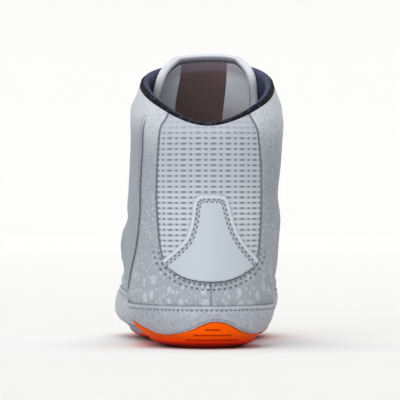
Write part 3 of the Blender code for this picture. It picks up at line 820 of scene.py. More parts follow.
def colour(red: int, green: int, blue: int) -> Colour:
    """A colour given as it shows, from 0 to 255, in the shader's own linear values.

    Args:
        red: how much red shows.
        green: how much green.
        blue: how much blue.

    Returns:
        The four linear values.
    """
    shown = (red / 255, green / 255, blue / 255)
    linear = [c / 12.92 if c <= 0.04045 else ((c + 0.055) / 1.055) ** 2.4 for c in shown]
    return (linear[0], linear[1], linear[2], 1.0)


class Graph:
    """The node graph of one material."""

    def __init__(self, name: str) -> None:
        """Starts a material with its shader and output alone.

        Args:
            name: its name.
        """
        self.material = bpy.data.materials.new(name)
        self.material.use_nodes = True
        self.tree = self.material.node_tree
        self.shader = self.tree.nodes["Principled BSDF"]

    def node(self, kind: str, sockets: Mapping[Union[str, int], object], output: int = 0,
             **settings: object) -> Wire:
        """Adds any node.

        Args:
            kind: the node's type.
            sockets: values or wires for its sockets, by name or number.
            output: the number of the socket that is wanted.
            **settings: what is set on the node first.

        Returns:
            The wanted socket.
        """
        made = self.tree.nodes.new(kind)
        for name, value in settings.items():
            setattr(made, name, value)
        for key, value in sockets.items():
            if isinstance(value, Wire):
                self.tree.links.new(value.socket, made.inputs[key])
            else:
                made.inputs[key].default_value = value.value if isinstance(value, Enum) else value
        return Wire(self, made.outputs[output])

    def maths(self, operation: str, *values: Value) -> Wire:
        """Adds a Math node."""
        return self.node("ShaderNodeMath", dict(enumerate(values)), operation=operation)

    def place(self) -> Wire:
        """The place on the object."""
        return self.node("ShaderNodeTexCoord", {}, output=3)

    def cloth(self) -> Wire:
        """The place on the piece's own cloth, in metres."""
        return self.node("ShaderNodeTexCoord", {}, output=2)

    def axes(self, vector: Wire) -> tuple[Wire, Wire, Wire]:
        """The three numbers of a place.

        Args:
            vector: the place.

        Returns:
            A wire for each number.
        """
        split = self.node("ShaderNodeSeparateXYZ", {0: vector})
        outputs = split.socket.node.outputs
        return Wire(self, outputs[0]), Wire(self, outputs[1]), Wire(self, outputs[2])

    def noted(self, name: str) -> Wire:
        """A number that was written on the vertices."""
        return self.node("ShaderNodeAttribute", {}, output=2, attribute_name=name)

    def step(self, value: Wire, low: float, high: float) -> Wire:
        """A soft step from 0 at low to 1 at high, or down where low is the greater."""
        return self.node("ShaderNodeMapRange", {0: value, 1: low, 2: high},
                         interpolation_type="SMOOTHSTEP")

    def band(self, value: Wire, middle: float, half: float, soft: float) -> Wire:
        """1 within half of middle, fading to 0 over soft."""
        return self.step(abs(value - middle), half + soft, half)

    def scaled(self, vector: Wire, x: float, y: float, z: float) -> Wire:
        """A place stretched along its axes."""
        return self.node("ShaderNodeVectorMath", {0: vector, 1: (x, y, z)}, operation="MULTIPLY")

    def noise(self, vector: Wire, scale: float, detail: float = 2.0, rough: float = 0.5) -> Wire:
        """Soft noise from 0 to 1."""
        return self.node("ShaderNodeTexNoise", {
            "Vector": vector, "Scale": scale, "Detail": detail, "Roughness": rough})

    def mix(self, mask: Value, under: object, over: object) -> Wire:
        """A colour laid over another where the mask is 1."""
        return self.node("ShaderNodeMix", {0: mask, 6: under, 7: over}, output=2, data_type="RGBA")

    def drops(self, vector: Wire, scale: float, low: float, high: Value) -> Wire:
        """Round drops of mixed sizes: 1 within a drop and 0 around it.

        Args:
            vector: the place to read.
            scale: drops for each metre.
            low: the smallest radius, as a share of the space of a drop.
            high: how much greater the largest is.

        Returns:
            The mask.
        """
        cell = self.node("ShaderNodeTexVoronoi", {
            "Vector": vector, "Scale": scale, "Randomness": 0.8}, voronoi_dimensions="2D")
        hue = Wire(self, cell.socket.node.outputs[1])
        chance, _, _ = self.axes(hue)
        radius = low + chance * high
        return self.node("ShaderNodeMapRange", {0: radius - cell, 1: -0.03, 2: 0.05},
                         interpolation_type="SMOOTHSTEP")

    def stitches(self, offset: Wire, along: Wire, pitch: float, half: float = 0.3 * MM) -> Wire:
        """The dark gaps between the stitches of a row.

        Args:
            offset: distance from the row.
            along: distance along the row.
            pitch: length of a stitch and its gap.
            half: half of the row's width.

        Returns:
            1 in the gaps and 0 elsewhere.
        """
        beat = self.maths("PINGPONG", along / pitch, 0.5)
        gap = self.step(beat, 0.22, 0.36)
        return self.step(abs(offset), half + 0.3 * MM, half) * gap

    def finish(self, base: Value, roughness: Value, bumps: Sequence[tuple[Wire, float]],
               **constants: float) -> bpy.types.Material:
        """Feeds the shader.

        Args:
            base: the colour.
            roughness: a number or a wire.
            bumps: heights from 0 to 1, each with its depth in metres.
            **constants: the shader's other sockets, with _ for a space.

        Returns:
            The material.
        """
        normal = None
        for height, distance in bumps:
            sockets = {"Height": height, "Distance": distance, "Strength": 1.0}
            if normal is not None:
                sockets["Normal"] = normal
            normal = self.node("ShaderNodeBump", sockets)
        wires = {"Base Color": base, "Roughness": roughness, "Normal": normal}
        for key, value in wires.items():
            if isinstance(value, Wire):
                self.tree.links.new(value.socket, self.shader.inputs[key])
            elif value is not None:
                self.shader.inputs[key].default_value = value
        for key, value in constants.items():
            self.shader.inputs[key.replace("_", " ")].default_value = value
        return self.material


class Shade(Enum):
    """The shoe's colours, as they show, among them painted highlights and painted shades."""

    MESH = colour(206, 211, 219)
    MESH_LOW = colour(178, 184, 194)
    MESH_GAP = colour(118, 125, 137)
    # Dark seam lines, and painted shade along the side panel's edges
    SEAM = colour(84, 92, 110)
    CLOTH = colour(164, 170, 179)
    DROP = colour(194, 199, 208)
    PIT = colour(128, 134, 146)
    # Painted highlight for the tops of the sides near the collar
    SHOULDER = colour(212, 217, 224)
    LEATHER = colour(194, 203, 211)
    STITCH_GAP = colour(96, 102, 115)
    PANEL = colour(162, 168, 178)
    PANEL_DEEP = colour(142, 148, 159)
    SUEDE = colour(178, 183, 193)
    SUEDE_DEEP = colour(150, 155, 166)
    ORANGE = colour(255, 96, 0)
    ORANGE_LOW = colour(230, 10, 0)
    GROOVE = colour(170, 24, 0)
    TREAD = colour(92, 20, 8)
    NAVY = colour(66, 72, 98)
    NAVY_DARK = colour(16, 17, 26)
    TONGUE_EDGE = colour(226, 230, 238)
    TONGUE_MESH = colour(242, 246, 252)
    STRIP = colour(118, 94, 95)
    CROWN = colour(126, 112, 126)
    LACE = colour(206, 210, 218)
    RING = colour(88, 93, 104)
    FOOTBED = colour(92, 96, 108)
    FLOOR = colour(243, 243, 242)
    KNIT = colour(92, 98, 122)
    FLECK = colour(122, 126, 144)
    LEATHER_CLOUD = colour(180, 190, 200)
    BORDER = colour(208, 215, 222)
    DITCH = colour(150, 158, 170)
    PATCH_RIM = colour(168, 176, 188)
    NAP = colour(202, 206, 214)
    RAND_LIP = colour(200, 205, 213)
    TONGUE_FUZZ = colour(204, 208, 219)
    TONGUE_TIP = colour(122, 114, 132)
    TONGUE_LOW = colour(228, 232, 240)
    TONGUE_DEEP = colour(128, 106, 110)
    STRIP_DEEP = colour(96, 76, 78)
    TONGUE_SEAM = colour(96, 98, 116)
    TONGUE_HOLES = colour(52, 54, 72)
    LACE_LOW = colour(168, 173, 184)
    RING_RUB = colour(112, 118, 130)
    FOOTBED_WEAR = colour(122, 126, 138)
    FLOOR_GRAIN = colour(236, 236, 234)


@dataclass(frozen=True)
class UpperCloth:
    """The upper's cloth: grey with pale drops, and knitted mesh within the heel panel's seam."""

    name: str = "upper_cloth"
    rib_pitch: float = 8.83 * MM
    rib_start: float = 2.9 * MM
    row_pitch: float = 3.14 * MM
    row_start: float = 122.9 * MM

    def make(self) -> bpy.types.Material:
        """Builds the material.

        Returns:
            The material.
        """
        g = Graph(self.name)
        place = g.place()
        x, y, z = g.axes(place)
        across, _, _ = g.axes(g.cloth())
        inside, along = g.noted("panel"), g.noted("along")
        grain = g.noise(place, 900.0, 3.0, 0.6)
        wander = g.noise(place, 28.0, 2.0)

        beat = g.maths("FRACT", (across - self.rib_start) / self.rib_pitch + 100.25)
        row = g.maths("FRACT", (z - self.row_start) / self.row_pitch + 100.5)
        tall = ((row - 0.5) / 0.19) ** 2.0
        wide = g.step(((beat - 0.25) / 0.20) ** 2.0 + tall, 1.25, 0.45)
        narrow = g.step(((beat - 0.75) / 0.115) ** 2.0 + tall, 1.25, 0.45)
        faint = g.step(z, 132.0 * MM, 121.0 * MM) * 0.85 + 0.15
        gap = g.maths("MAXIMUM", wide, narrow) * faint
        # Painted highlight: the ridges between the rows of dashes are lighter, and the rows
        # themselves darker
        crest = g.maths("PINGPONG", row, 0.5)
        mesh = g.mix(crest * 1.8, Shade.MESH, Shade.MESH_LOW)
        mesh = g.mix(g.step(z, 80.0 * MM, 104.0 * MM) * 0.6, mesh, Shade.MESH_LOW)
        mesh = g.mix(gap * (0.62 + wander * 0.35), mesh, Shade.MESH_GAP)

        low = g.step(z, 62.0 * MM, 34.0 * MM)
        stretched = g.scaled(g.cloth(), 1.0, 0.78, 1.0)
        large = g.drops(stretched, 142.0, -0.10, 0.50) * low
        middle = g.drops(stretched, 330.0, -0.06, 0.44) * g.step(z, 110.0 * MM, 70.0 * MM)
        fine = g.drops(stretched, 620.0, 0.0, 0.42)
        drop = g.maths("MAXIMUM", g.maths("MAXIMUM", large, middle), fine * 0.6)
        # Painted highlight: the cloth turns lighter towards the collar
        shoulder = g.step(z, 108.0 * MM, 138.0 * MM)
        cloth = g.mix(shoulder, Shade.CLOTH, Shade.SHOULDER)
        cloth = g.mix(wander * 0.18, cloth, Shade.SUEDE_DEEP)
        cloth = g.mix(drop * (0.9 - shoulder * 0.45), cloth, Shade.DROP)
        pit = g.drops(g.cloth(), 470.0, 0.0, 0.40) * g.step(z, 50.0 * MM, 90.0 * MM)
        inner = g.step(x, 20.0 * MM, 36.0 * MM) * g.step(z, 142.0 * MM, 120.0 * MM)
        cloth = g.mix(pit * (0.30 + inner * 0.35), cloth, Shade.MESH_GAP)
        cloth = g.mix(inner * wander * 0.4, cloth, Shade.PIT)

        within = g.step(inside, -0.25 * MM, 0.25 * MM)
        look = g.mix(within, cloth, mesh)
        back = g.step(y, 4.0 * MM, -4.0 * MM)
        rows = g.maths("MAXIMUM", g.stitches(inside + 1.5 * MM, along, 3.0 * MM),
                       g.stitches(inside + 4.2 * MM, along + 1.1 * MM, 3.0 * MM))
        rows = rows * g.step(z, 62.0 * MM, 54.0 * MM)
        line = g.step(abs(inside), 0.95 * MM, 0.30 * MM)
        spine = g.step(abs(x - MIDDLE), 0.7 * MM, 0.2 * MM) * back * g.step(z, 41.0 * MM, 39.0 * MM)
        look = g.mix(line * 0.8, look, Shade.SEAM)
        look = g.mix(rows * 0.85, look, Shade.STITCH_GAP)
        look = g.mix(spine * 0.6, look, Shade.SEAM)

        dents = 1.0 - gap * within - rows
        relief = drop * (1.0 - within)
        return g.finish(look, 0.82 - relief * 0.18, (
            (dents, 0.7 * MM), (relief, 0.22 * MM), (grain, 0.08 * MM)), Sheen_Weight=0.12)


@dataclass(frozen=True)
class InnerCloth:
    """The dark cloth that lines the inside."""

    name: str = "inner_cloth"

    def make(self) -> bpy.types.Material:
        """Builds the material.

        Returns:
            The material.
        """
        g = Graph(self.name)
        place = g.place()
        weave = g.noise(place, 1400.0, 2.0)
        look = g.mix(weave, Shade.NAVY_DARK, Shade.NAVY)
        return g.finish(look, 0.95, ((weave, 0.1 * MM),), Sheen_Weight=0.2)


@dataclass(frozen=True)
class CollarCloth:
    """The collar's brushed lining, darker along its outer lip."""

    name: str = "collar_cloth"

    def make(self) -> bpy.types.Material:
        """Builds the material.

        Returns:
            The material.
        """
        g = Graph(self.name)
        across, up, _ = g.axes(g.cloth())
        lip = g.noted("lip")
        rib = g.maths("PINGPONG", (across + up) / (1.1 * MM), 0.5)
        cross = g.maths("PINGPONG", (across - up) / (1.1 * MM), 0.5)
        weave = rib * cross * 4.0
        fuzz = g.noise(g.place(), 700.0, 3.0)
        look = g.mix(weave * 0.35 + fuzz * 0.25, Shade.NAVY, Shade.KNIT)
        fleck = g.step(g.noise(g.place(), 420.0, 3.0, 0.7), 0.50, 0.66)
        look = g.mix(lip, look, Shade.NAVY_DARK)
        look = g.mix(fleck * (0.5 - lip * 0.25), look, Shade.FLECK)
        return g.finish(look, 0.92, ((weave, 0.15 * MM), (fuzz, 0.12 * MM)), Specular_IOR_Level=0.2)


@dataclass(frozen=True)
class PatchLeather:
    """The smooth patch on the heel, with two rows of stitches within its raised border."""

    name: str = "patch_leather"

    def make(self) -> bpy.types.Material:
        """Builds the material.

        Returns:
            The material.
        """
        g = Graph(self.name)
        place = g.place()
        crest, along = g.noted("crest"), g.noted("along")
        grain = g.noise(place, 1100.0, 3.0, 0.6)
        cloud = g.noise(place, 45.0, 2.0)
        look = g.mix(cloud * 0.5, Shade.LEATHER, Shade.LEATHER_CLOUD)
        border = g.step(crest, 2.5 * MM, 2.0 * MM)
        look = g.mix(border * 0.7, look, Shade.BORDER)
        ditch = g.band(crest, 3.3 * MM, 0.9 * MM, 0.7 * MM)
        look = g.mix(ditch * 0.45, look, Shade.DITCH)
        holes = g.maths("MAXIMUM", g.stitches(crest - 2.8 * MM, along, 2.9 * MM, 0.26 * MM),
                        g.stitches(crest - 4.2 * MM, along + 1.2 * MM, 2.9 * MM, 0.26 * MM))
        look = g.mix(holes * 0.85, look, Shade.STITCH_GAP)
        rim = g.step(g.noted("edge"), 0.55 * MM, 0.1 * MM)
        look = g.mix(rim * 0.6, look, Shade.PATCH_RIM)
        return g.finish(look, 0.5 + grain * 0.12, (
            (1.0 - holes, 0.4 * MM), (grain, 0.05 * MM)), Coat_Weight=0.05, Coat_Roughness=0.5)


@dataclass(frozen=True)
class PanelLeather:
    """The thin overlay beside the throat: fine grain, a pale top edge that is painted highlight,
    painted shade along its edges and one row of stitches.
    """

    name: str = "panel_leather"

    def make(self) -> bpy.types.Material:
        """Builds the material.

        Returns:
            The material.
        """
        g = Graph(self.name)
        place = g.place()
        edge, back, along = g.noted("edge"), g.noted("back"), g.noted("along")
        _, _, z = g.axes(place)
        grain = g.node("ShaderNodeTexVoronoi", {"Vector": place, "Scale": 1300.0})
        cloud = g.noise(place, 30.0, 2.0)
        look = g.mix(cloud * 0.6, Shade.PANEL, Shade.PANEL_DEEP)
        fine = g.drops(g.scaled(g.cloth(), 1.0, 0.78, 1.0), 620.0, 0.0, 0.42)
        look = g.mix(fine * 0.25, look, Shade.DROP)
        # Painted highlight: the panel turns lighter towards its top
        pale = g.step(z, 120.0 * MM, 142.0 * MM)
        look = g.mix(pale * 0.8, look, Shade.SHOULDER)
        # Painted shade: dark lines along the panel's rear edge below its top, and along its other
        # edges
        lines = g.step(back, 0.8 * MM, 0.3 * MM) * g.step(z, 136.0 * MM, 126.0 * MM)
        lines = g.maths("MAXIMUM", g.step(edge, 0.9 * MM, 0.3 * MM), lines)
        second = g.band(back, 2.1 * MM, 0.15 * MM, 0.35 * MM) * g.step(z, 84.0 * MM, 100.0 * MM)
        look = g.mix(lines * 0.6, look, Shade.SEAM)
        look = g.mix(second * 0.5, look, Shade.SEAM)
        holes = g.stitches(edge - 2.4 * MM, along, 2.8 * MM, 0.26 * MM)
        look = g.mix(holes * 0.7, look, Shade.STITCH_GAP)
        return g.finish(look, 0.55 + grain * 0.15, (
            (1.0 - holes, 0.4 * MM), (1.0 - second, 0.3 * MM), (grain, 0.10 * MM)))


@dataclass(frozen=True)
class RandSuede:
    """The band round the foot of the upper: suede with a stitched lip."""

    name: str = "rand_suede"

    def make(self) -> bpy.types.Material:
        """Builds the material.

        Returns:
            The material.
        """
        g = Graph(self.name)
        place = g.place()
        x, _, _ = g.axes(place)
        across, _, _ = g.axes(g.cloth())
        top, foot = g.noted("top"), g.noted("foot")
        nap = g.noise(place, 430.0, 4.0, 0.7)
        cloud = g.noise(g.scaled(place, 1.0, 1.0, 1.8), 55.0, 3.0)
        look = g.mix(cloud * 0.75, Shade.SUEDE, Shade.SUEDE_DEEP)
        # Painted shade: the suede darkens on the lateral side
        look = g.mix(g.step(x, -22.0 * MM, -36.0 * MM) * 0.8, look, Shade.SUEDE_DEEP)
        look = g.mix(g.step(nap, 0.46, 0.64) * 0.45, look, Shade.NAP)
        look = g.mix(g.step(nap, 0.46, 0.34) * 0.35, look, Shade.PIT)
        look = g.mix(g.step(top, 2.0 * MM, 0.8 * MM) * 0.4, look, Shade.RAND_LIP)
        look = g.mix(g.step(top, 0.7 * MM, 0.2 * MM) * 0.7, look, Shade.STITCH_GAP)
        holes = g.stitches(top - 2.7 * MM, across, 2.8 * MM, 0.3 * MM)
        dots = g.stitches(foot - 1.3 * MM, across, 1.7 * MM, 0.18 * MM)
        look = g.mix(holes * 0.9, look, Shade.STITCH_GAP)
        look = g.mix(dots * 0.7, look, Shade.STITCH_GAP)
        return g.finish(look, 0.95, (
            (1.0 - holes - dots, 0.5 * MM), (nap, 0.22 * MM), (cloud, 0.6 * MM)), Sheen_Weight=0.3)


@dataclass(frozen=True)
class SoleRubber:
    """Orange rubber: bright on the sides, with painted shade that turns it redder and darker
    towards the floor, and short grooves on the heel.
    """

    name: str = "sole_rubber"

    def make(self) -> bpy.types.Material:
        """Builds the material.

        Returns:
            The material.
        """
        g = Graph(self.name)
        place = g.place()
        x, y, z = g.axes(place)
        cloud = g.noise(place, 60.0, 2.0)
        speck = g.noise(place, 1500.0, 2.0)
        # Painted shade: the rubber turns redder towards the floor, and near-black at the foot of
        # its wall as a painted contact shadow that also darkens the underside
        low = g.step(z, 9.0 * MM, 1.5 * MM)
        look = g.mix(low * 0.9 + cloud * 0.1, Shade.ORANGE, Shade.ORANGE_LOW)
        look = g.mix(g.step(z, 3.8 * MM, 1.0 * MM) * 0.9, look, Shade.TREAD)
        dip = g.step(y, 40.0 * MM, 95.0 * MM) * g.step(y, 205.0 * MM, 165.0 * MM)
        wrap = g.step(z + dip * 12.6 * MM, 17.0 * MM, 17.4 * MM) * g.step(x, -14.0 * MM, -16.0 * MM)
        wrap = wrap * g.step(y, 210.0 * MM, 209.0 * MM)
        look = g.mix(wrap, look, Shade.SUEDE_DEEP)
        grooves = None
        for height, reach in ((11.4 * MM, 4.0 * MM), (8.2 * MM, 10.5 * MM), (5.2 * MM, 15.0 * MM)):
            one = g.band(z, height, 0.28 * MM, 0.3 * MM) * g.step(
                abs(x - 2.2 * MM), reach + 1.0 * MM, reach)
            grooves = one if grooves is None else g.maths("MAXIMUM", grooves, one)
        grooves = grooves * g.step(y, -20.0 * MM, -26.0 * MM)
        under = g.step(z, 3.0 * MM, 1.5 * MM) + g.step(y, 170.0 * MM, 200.0 * MM) * g.step(
            z, 12.0 * MM, 8.0 * MM)
        ring = g.node("ShaderNodeTexWave", {"Vector": g.scaled(place, 1.0, 0.72, 0.0),
                                            "Scale": 58.0, "Distortion": 0.0},
                      wave_type="RINGS", rings_direction="Z")
        tread = g.step(ring, 0.35, 0.6) * g.maths("MINIMUM", under, 1.0)
        look = g.mix(grooves * 0.75, look, Shade.GROOVE)
        look = g.mix(tread * 0.35, look, Shade.GROOVE)
        return g.finish(look, 0.42 + speck * 0.14, (
            (1.0 - grooves, 0.6 * MM), (1.0 - tread, 0.7 * MM), (speck, 0.04 * MM)),
            Specular_IOR_Level=0.03)


@dataclass(frozen=True)
class TongueCloth:
    """The tongue: a pale rolled edge, a dark seam, fine mesh and a plain strip in the middle."""

    name: str = "tongue_cloth"

    def make(self) -> bpy.types.Material:
        """Builds the material.

        Returns:
            The material.
        """
        g = Graph(self.name)
        place = g.place()
        across, _, _ = g.axes(g.cloth())
        edge, inner = g.noted("edge"), g.noted("inner")
        along, top = g.noted("along"), g.noted("top")
        dots = g.drops(g.cloth(), 760.0, 0.22, 0.12)
        fuzz = g.noise(place, 800.0, 3.0)
        look = g.mix(fuzz * 0.5, Shade.TONGUE_EDGE, Shade.TONGUE_FUZZ)
        # Painted shade: a purple-grey band on the inner side of the rolled edge, deepest at the top
        # middle
        crown = g.step(top, 16.0 * MM, 6.0 * MM) * g.step(abs(across), 36.0 * MM, 26.0 * MM)
        tip = g.step(edge, 0.6 * MM, 1.8 * MM) * inner * (0.40 + crown * 0.45)
        look = g.mix(tip, look, Shade.TONGUE_TIP)
        mesh = g.mix(dots, Shade.TONGUE_LOW, Shade.TONGUE_MESH)
        # Painted shade with a brownish painted reflection: the lining darkens further down the
        # tongue
        mesh = g.mix(g.step(top, 22.0 * MM, 52.0 * MM) * 0.8, mesh, Shade.TONGUE_DEEP)
        # Painted shade: purple under the rolled top, on the mesh and on the strip
        shade = g.step(top, 15.0 * MM, 8.0 * MM)
        mesh = g.mix(shade * 0.55, mesh, Shade.CROWN)
        lined = g.step(edge, 4.2 * MM, 4.6 * MM) * inner
        look = g.mix(lined, look, mesh)
        strip = g.step(abs(across + 4.0 * MM), 20.6 * MM, 20.0 * MM) * lined
        brown = g.mix(g.noise(place, 300.0, 2.0), Shade.STRIP, Shade.STRIP_DEEP)
        # Painted shade near the top of the strip
        brown = g.mix(g.step(top, 10.5 * MM, 8.5 * MM) * 0.85, brown, Shade.CROWN)
        look = g.mix(strip, look, brown)
        holes = g.stitches(edge - 4.3 * MM, along, 2.8 * MM, 0.55 * MM)
        seam = g.band(edge, 4.3 * MM, 0.5 * MM, 0.4 * MM)
        look = g.mix(seam * 0.6, look, Shade.TONGUE_SEAM)
        look = g.mix(holes * 0.9, look, Shade.TONGUE_HOLES)
        return g.finish(look, 0.9, (
            (1.0 - seam, 0.5 * MM), (dots * lined, 0.2 * MM), (fuzz, 0.08 * MM)), Sheen_Weight=0.2)


@dataclass(frozen=True)
class LaceWeave:
    """A flat woven lace."""

    name: str = "lace_weave"

    def make(self) -> bpy.types.Material:
        """Builds the material.

        Returns:
            The material.
        """
        g = Graph(self.name)
        across, up, _ = g.axes(g.cloth())
        left = g.maths("PINGPONG", (across + up) / (1.3 * MM), 0.5)
        right = g.maths("PINGPONG", (across - up) / (1.3 * MM), 0.5)
        weave = g.maths("MAXIMUM", left, right) * 2.0
        look = g.mix(weave, Shade.LACE_LOW, Shade.LACE)
        return g.finish(look, 0.88, ((weave, 0.25 * MM),), Sheen_Weight=0.2)


@dataclass(frozen=True)
class RingPlastic:
    """The eyelets' moulded plastic."""

    name: str = "ring_plastic"

    def make(self) -> bpy.types.Material:
        """Builds the material.

        Returns:
            The material.
        """
        g = Graph(self.name)
        rub = g.noise(g.place(), 900.0, 3.0)
        look = g.mix(rub * 0.5, Shade.RING, Shade.RING_RUB)
        return g.finish(look, 0.35 + rub * 0.2, ((rub, 0.03 * MM),))


@dataclass(frozen=True)
class FootbedCloth:
    """The insole's cloth."""

    name: str = "footbed_cloth"

    def make(self) -> bpy.types.Material:
        """Builds the material.

        Returns:
            The material.
        """
        g = Graph(self.name)
        place = g.place()
        x, y, _ = g.axes(place)
        left = g.maths("PINGPONG", (x + y) / (1.6 * MM), 0.5)
        right = g.maths("PINGPONG", (x - y) / (1.6 * MM), 0.5)
        weave = left * right * 4.0
        wear = g.noise(place, 40.0, 3.0)
        look = g.mix(weave * 0.4 + wear * 0.3, Shade.FOOTBED, Shade.FOOTBED_WEAR)
        return g.finish(look, 0.95, ((weave, 0.2 * MM),), Sheen_Weight=0.1)


@dataclass(frozen=True)
class FloorPaper:
    """The plain pale sweep on which the shoe stands."""

    name: str = "floor_paper"

    def make(self) -> bpy.types.Material:
        """Builds the material.

        Returns:
            The material.
        """
        g = Graph(self.name)
        grain = g.noise(g.place(), 220.0, 2.0)
        look = g.mix(grain * 0.02, Shade.FLOOR, Shade.FLOOR_GRAIN)
        return g.finish(look, 0.85, ((grain, 0.02 * MM),), Specular_IOR_Level=0.2)


def dress(obj: bpy.types.Object, slot: str, *finishes: bpy.types.Material) -> None:
    """Gives a piece its materials and body.

    Args:
        obj: the piece.
        slot: the record's material slot, which is not used.
        *finishes: its materials, outer face first.
    """
    obj.data.materials.clear()
    for finish in finishes:
        obj.data.materials.append(finish)
    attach(obj, BODY)
    LOG.info("%s: %d faces", obj.name, len(obj.data.polygons))


@dataclass
class Upper:
    """The hollow shell of the upper, open at collar, throat and foot."""

    last: Last
    across: int = 296
    up: int = 144

    def relief(self, base: np.ndarray, level: np.ndarray, inside: np.ndarray) -> np.ndarray:
        """How far the cloth stands out from the last: seams, padding and folds.

        Args:
            base: places on the last.
            level: their places up the wall.
            inside: depth within the heel panel's seam.

        Returns:
            Metres outwards for each place.
        """
        out = -0.55 * MM * hump(inside, 0.0, 0.9 * MM)
        out += 0.35 * MM * smooth(inside, 0.5 * MM, 5.0 * MM)
        behind = (base[:, 1] < 0.02) * (base[:, 2] < 0.060)
        for row in (-1.5 * MM, -4.3 * MM):
            out -= 0.30 * MM * hump(inside, row, 0.7 * MM) * behind
        spine = hump(base[:, 0], MIDDLE, 0.8 * MM) * (base[:, 1] < 0) * (base[:, 2] < 0.040)
        out -= 0.35 * MM * spine
        swell = hump(level, RAND_TOP + 0.45, 0.38) * smooth(level, RAND_TOP, RAND_TOP + 0.12)
        return out + 1.2 * MM * swell + self.last.folds(base)

    def build(self) -> None:
        """Lays the cloth on the last, closes the vamp and gives the wall its thickness."""
        sheet = Sheet("upper_shell", self.across, self.up)
        t = 2 * sheet.u - 1
        column = t * (0.55 + 0.45 * t**2)
        level = RIM * sheet.v
        base = self.last.place(column, level, 0.0)
        seam = Line(PANEL_SEAM, MM)
        inside = seam.depth(base[:, 0], base[:, 2])
        _, along = seam.distance(base[:, 0], base[:, 2])
        away = (np.abs(column) > 0.5) | (base[:, 1] > 0.03)
        inside = np.where(away, -0.03, inside)
        spots = self.last.place(column, level, self.relief(base, level, inside))
        front = (level <= THROAT_FOOT) & (np.abs(t) > 0.9999)
        spots[front, 0] = self.last.place(np.ones(front.sum()), level[front], 0.0)[:, 0]
        sheet.fit(spots, sheet.runs(base))
        sheet.note(panel=inside, along=along)
        weld(sheet.obj)
        dress(sheet.obj, "knit", UpperCloth().make(), InnerCloth().make())
        sheet.thicken(WALL, inner_slot=1)
        obj = sheet.done()
        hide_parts("upper")


@dataclass
class HeelPatch:
    """The smooth bell-shaped patch on the back."""

    last: Last
    thickness: float = 1.0 * MM
    lift: float = 0.35 * MM
    across: int = 110
    up: int = 96
    low: float = 3.7
    high: float = 9.3
    outer: float = -30 * MM
    inner: float = 32 * MM

    def build(self) -> None:
        """Lays the patch, trims it to its outline and raises its border."""
        outline = Line((*PATCH_CREST, *PATCH_FOOT[1:]), MM)
        crest_line = Line(PATCH_CREST, MM)
        sheet = Sheet("heel_patch_leather", self.across, self.up)
        level = self.low + (self.high - self.low) * sheet.v
        left, right = (self.column_at(across, self.low) + sheet.v * (
            self.column_at(across, self.high) - self.column_at(across, self.low))
            for across in (self.outer, self.inner))
        column = left + (right - left) * sheet.u
        column, level = drawn_to(self.last, column, level, outline, 0, 0.75 * MM)
        base = self.last.place(column, level, 0.0)
        depth = outline.depth(base[:, 0], base[:, 2])
        crest, along = crest_line.distance(base[:, 0], base[:, 2])
        border = smooth(crest, 3.0 * MM, 1.6 * MM) * smooth(depth, -0.2 * MM, 0.5 * MM)
        out = self.lift + self.thickness + 0.5 * MM * border
        out -= 0.25 * MM * hump(crest, 3.4 * MM, 0.9 * MM)
        out -= 0.35 * MM * smooth(depth, 0.6 * MM, 0.0)
        sheet.fit(self.last.place(column, level, out), sheet.runs(base))
        sheet.note(crest=crest, along=along, edge=depth)
        sheet.trim(depth)
        dress(sheet.obj, "smooth_patch", PatchLeather().make())
        sheet.thicken(self.thickness)
        obj = sheet.done(60.0)
        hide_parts("heel_patch")

    def column_at(self, across: float, level: float) -> float:
        """The column at which the back of the wall reaches a place across.

        Args:
            across: metres from the last's middle.
            level: the place up the wall.

        Returns:
            The column.
        """
        side = math.copysign(1.0, across)
        columns = side * np.linspace(0.0, 0.4, 200)
        x = self.last.place(columns, np.full(200, level), 0.0)[:, 0] * side
        return float(columns[np.argmax(x > abs(across))])


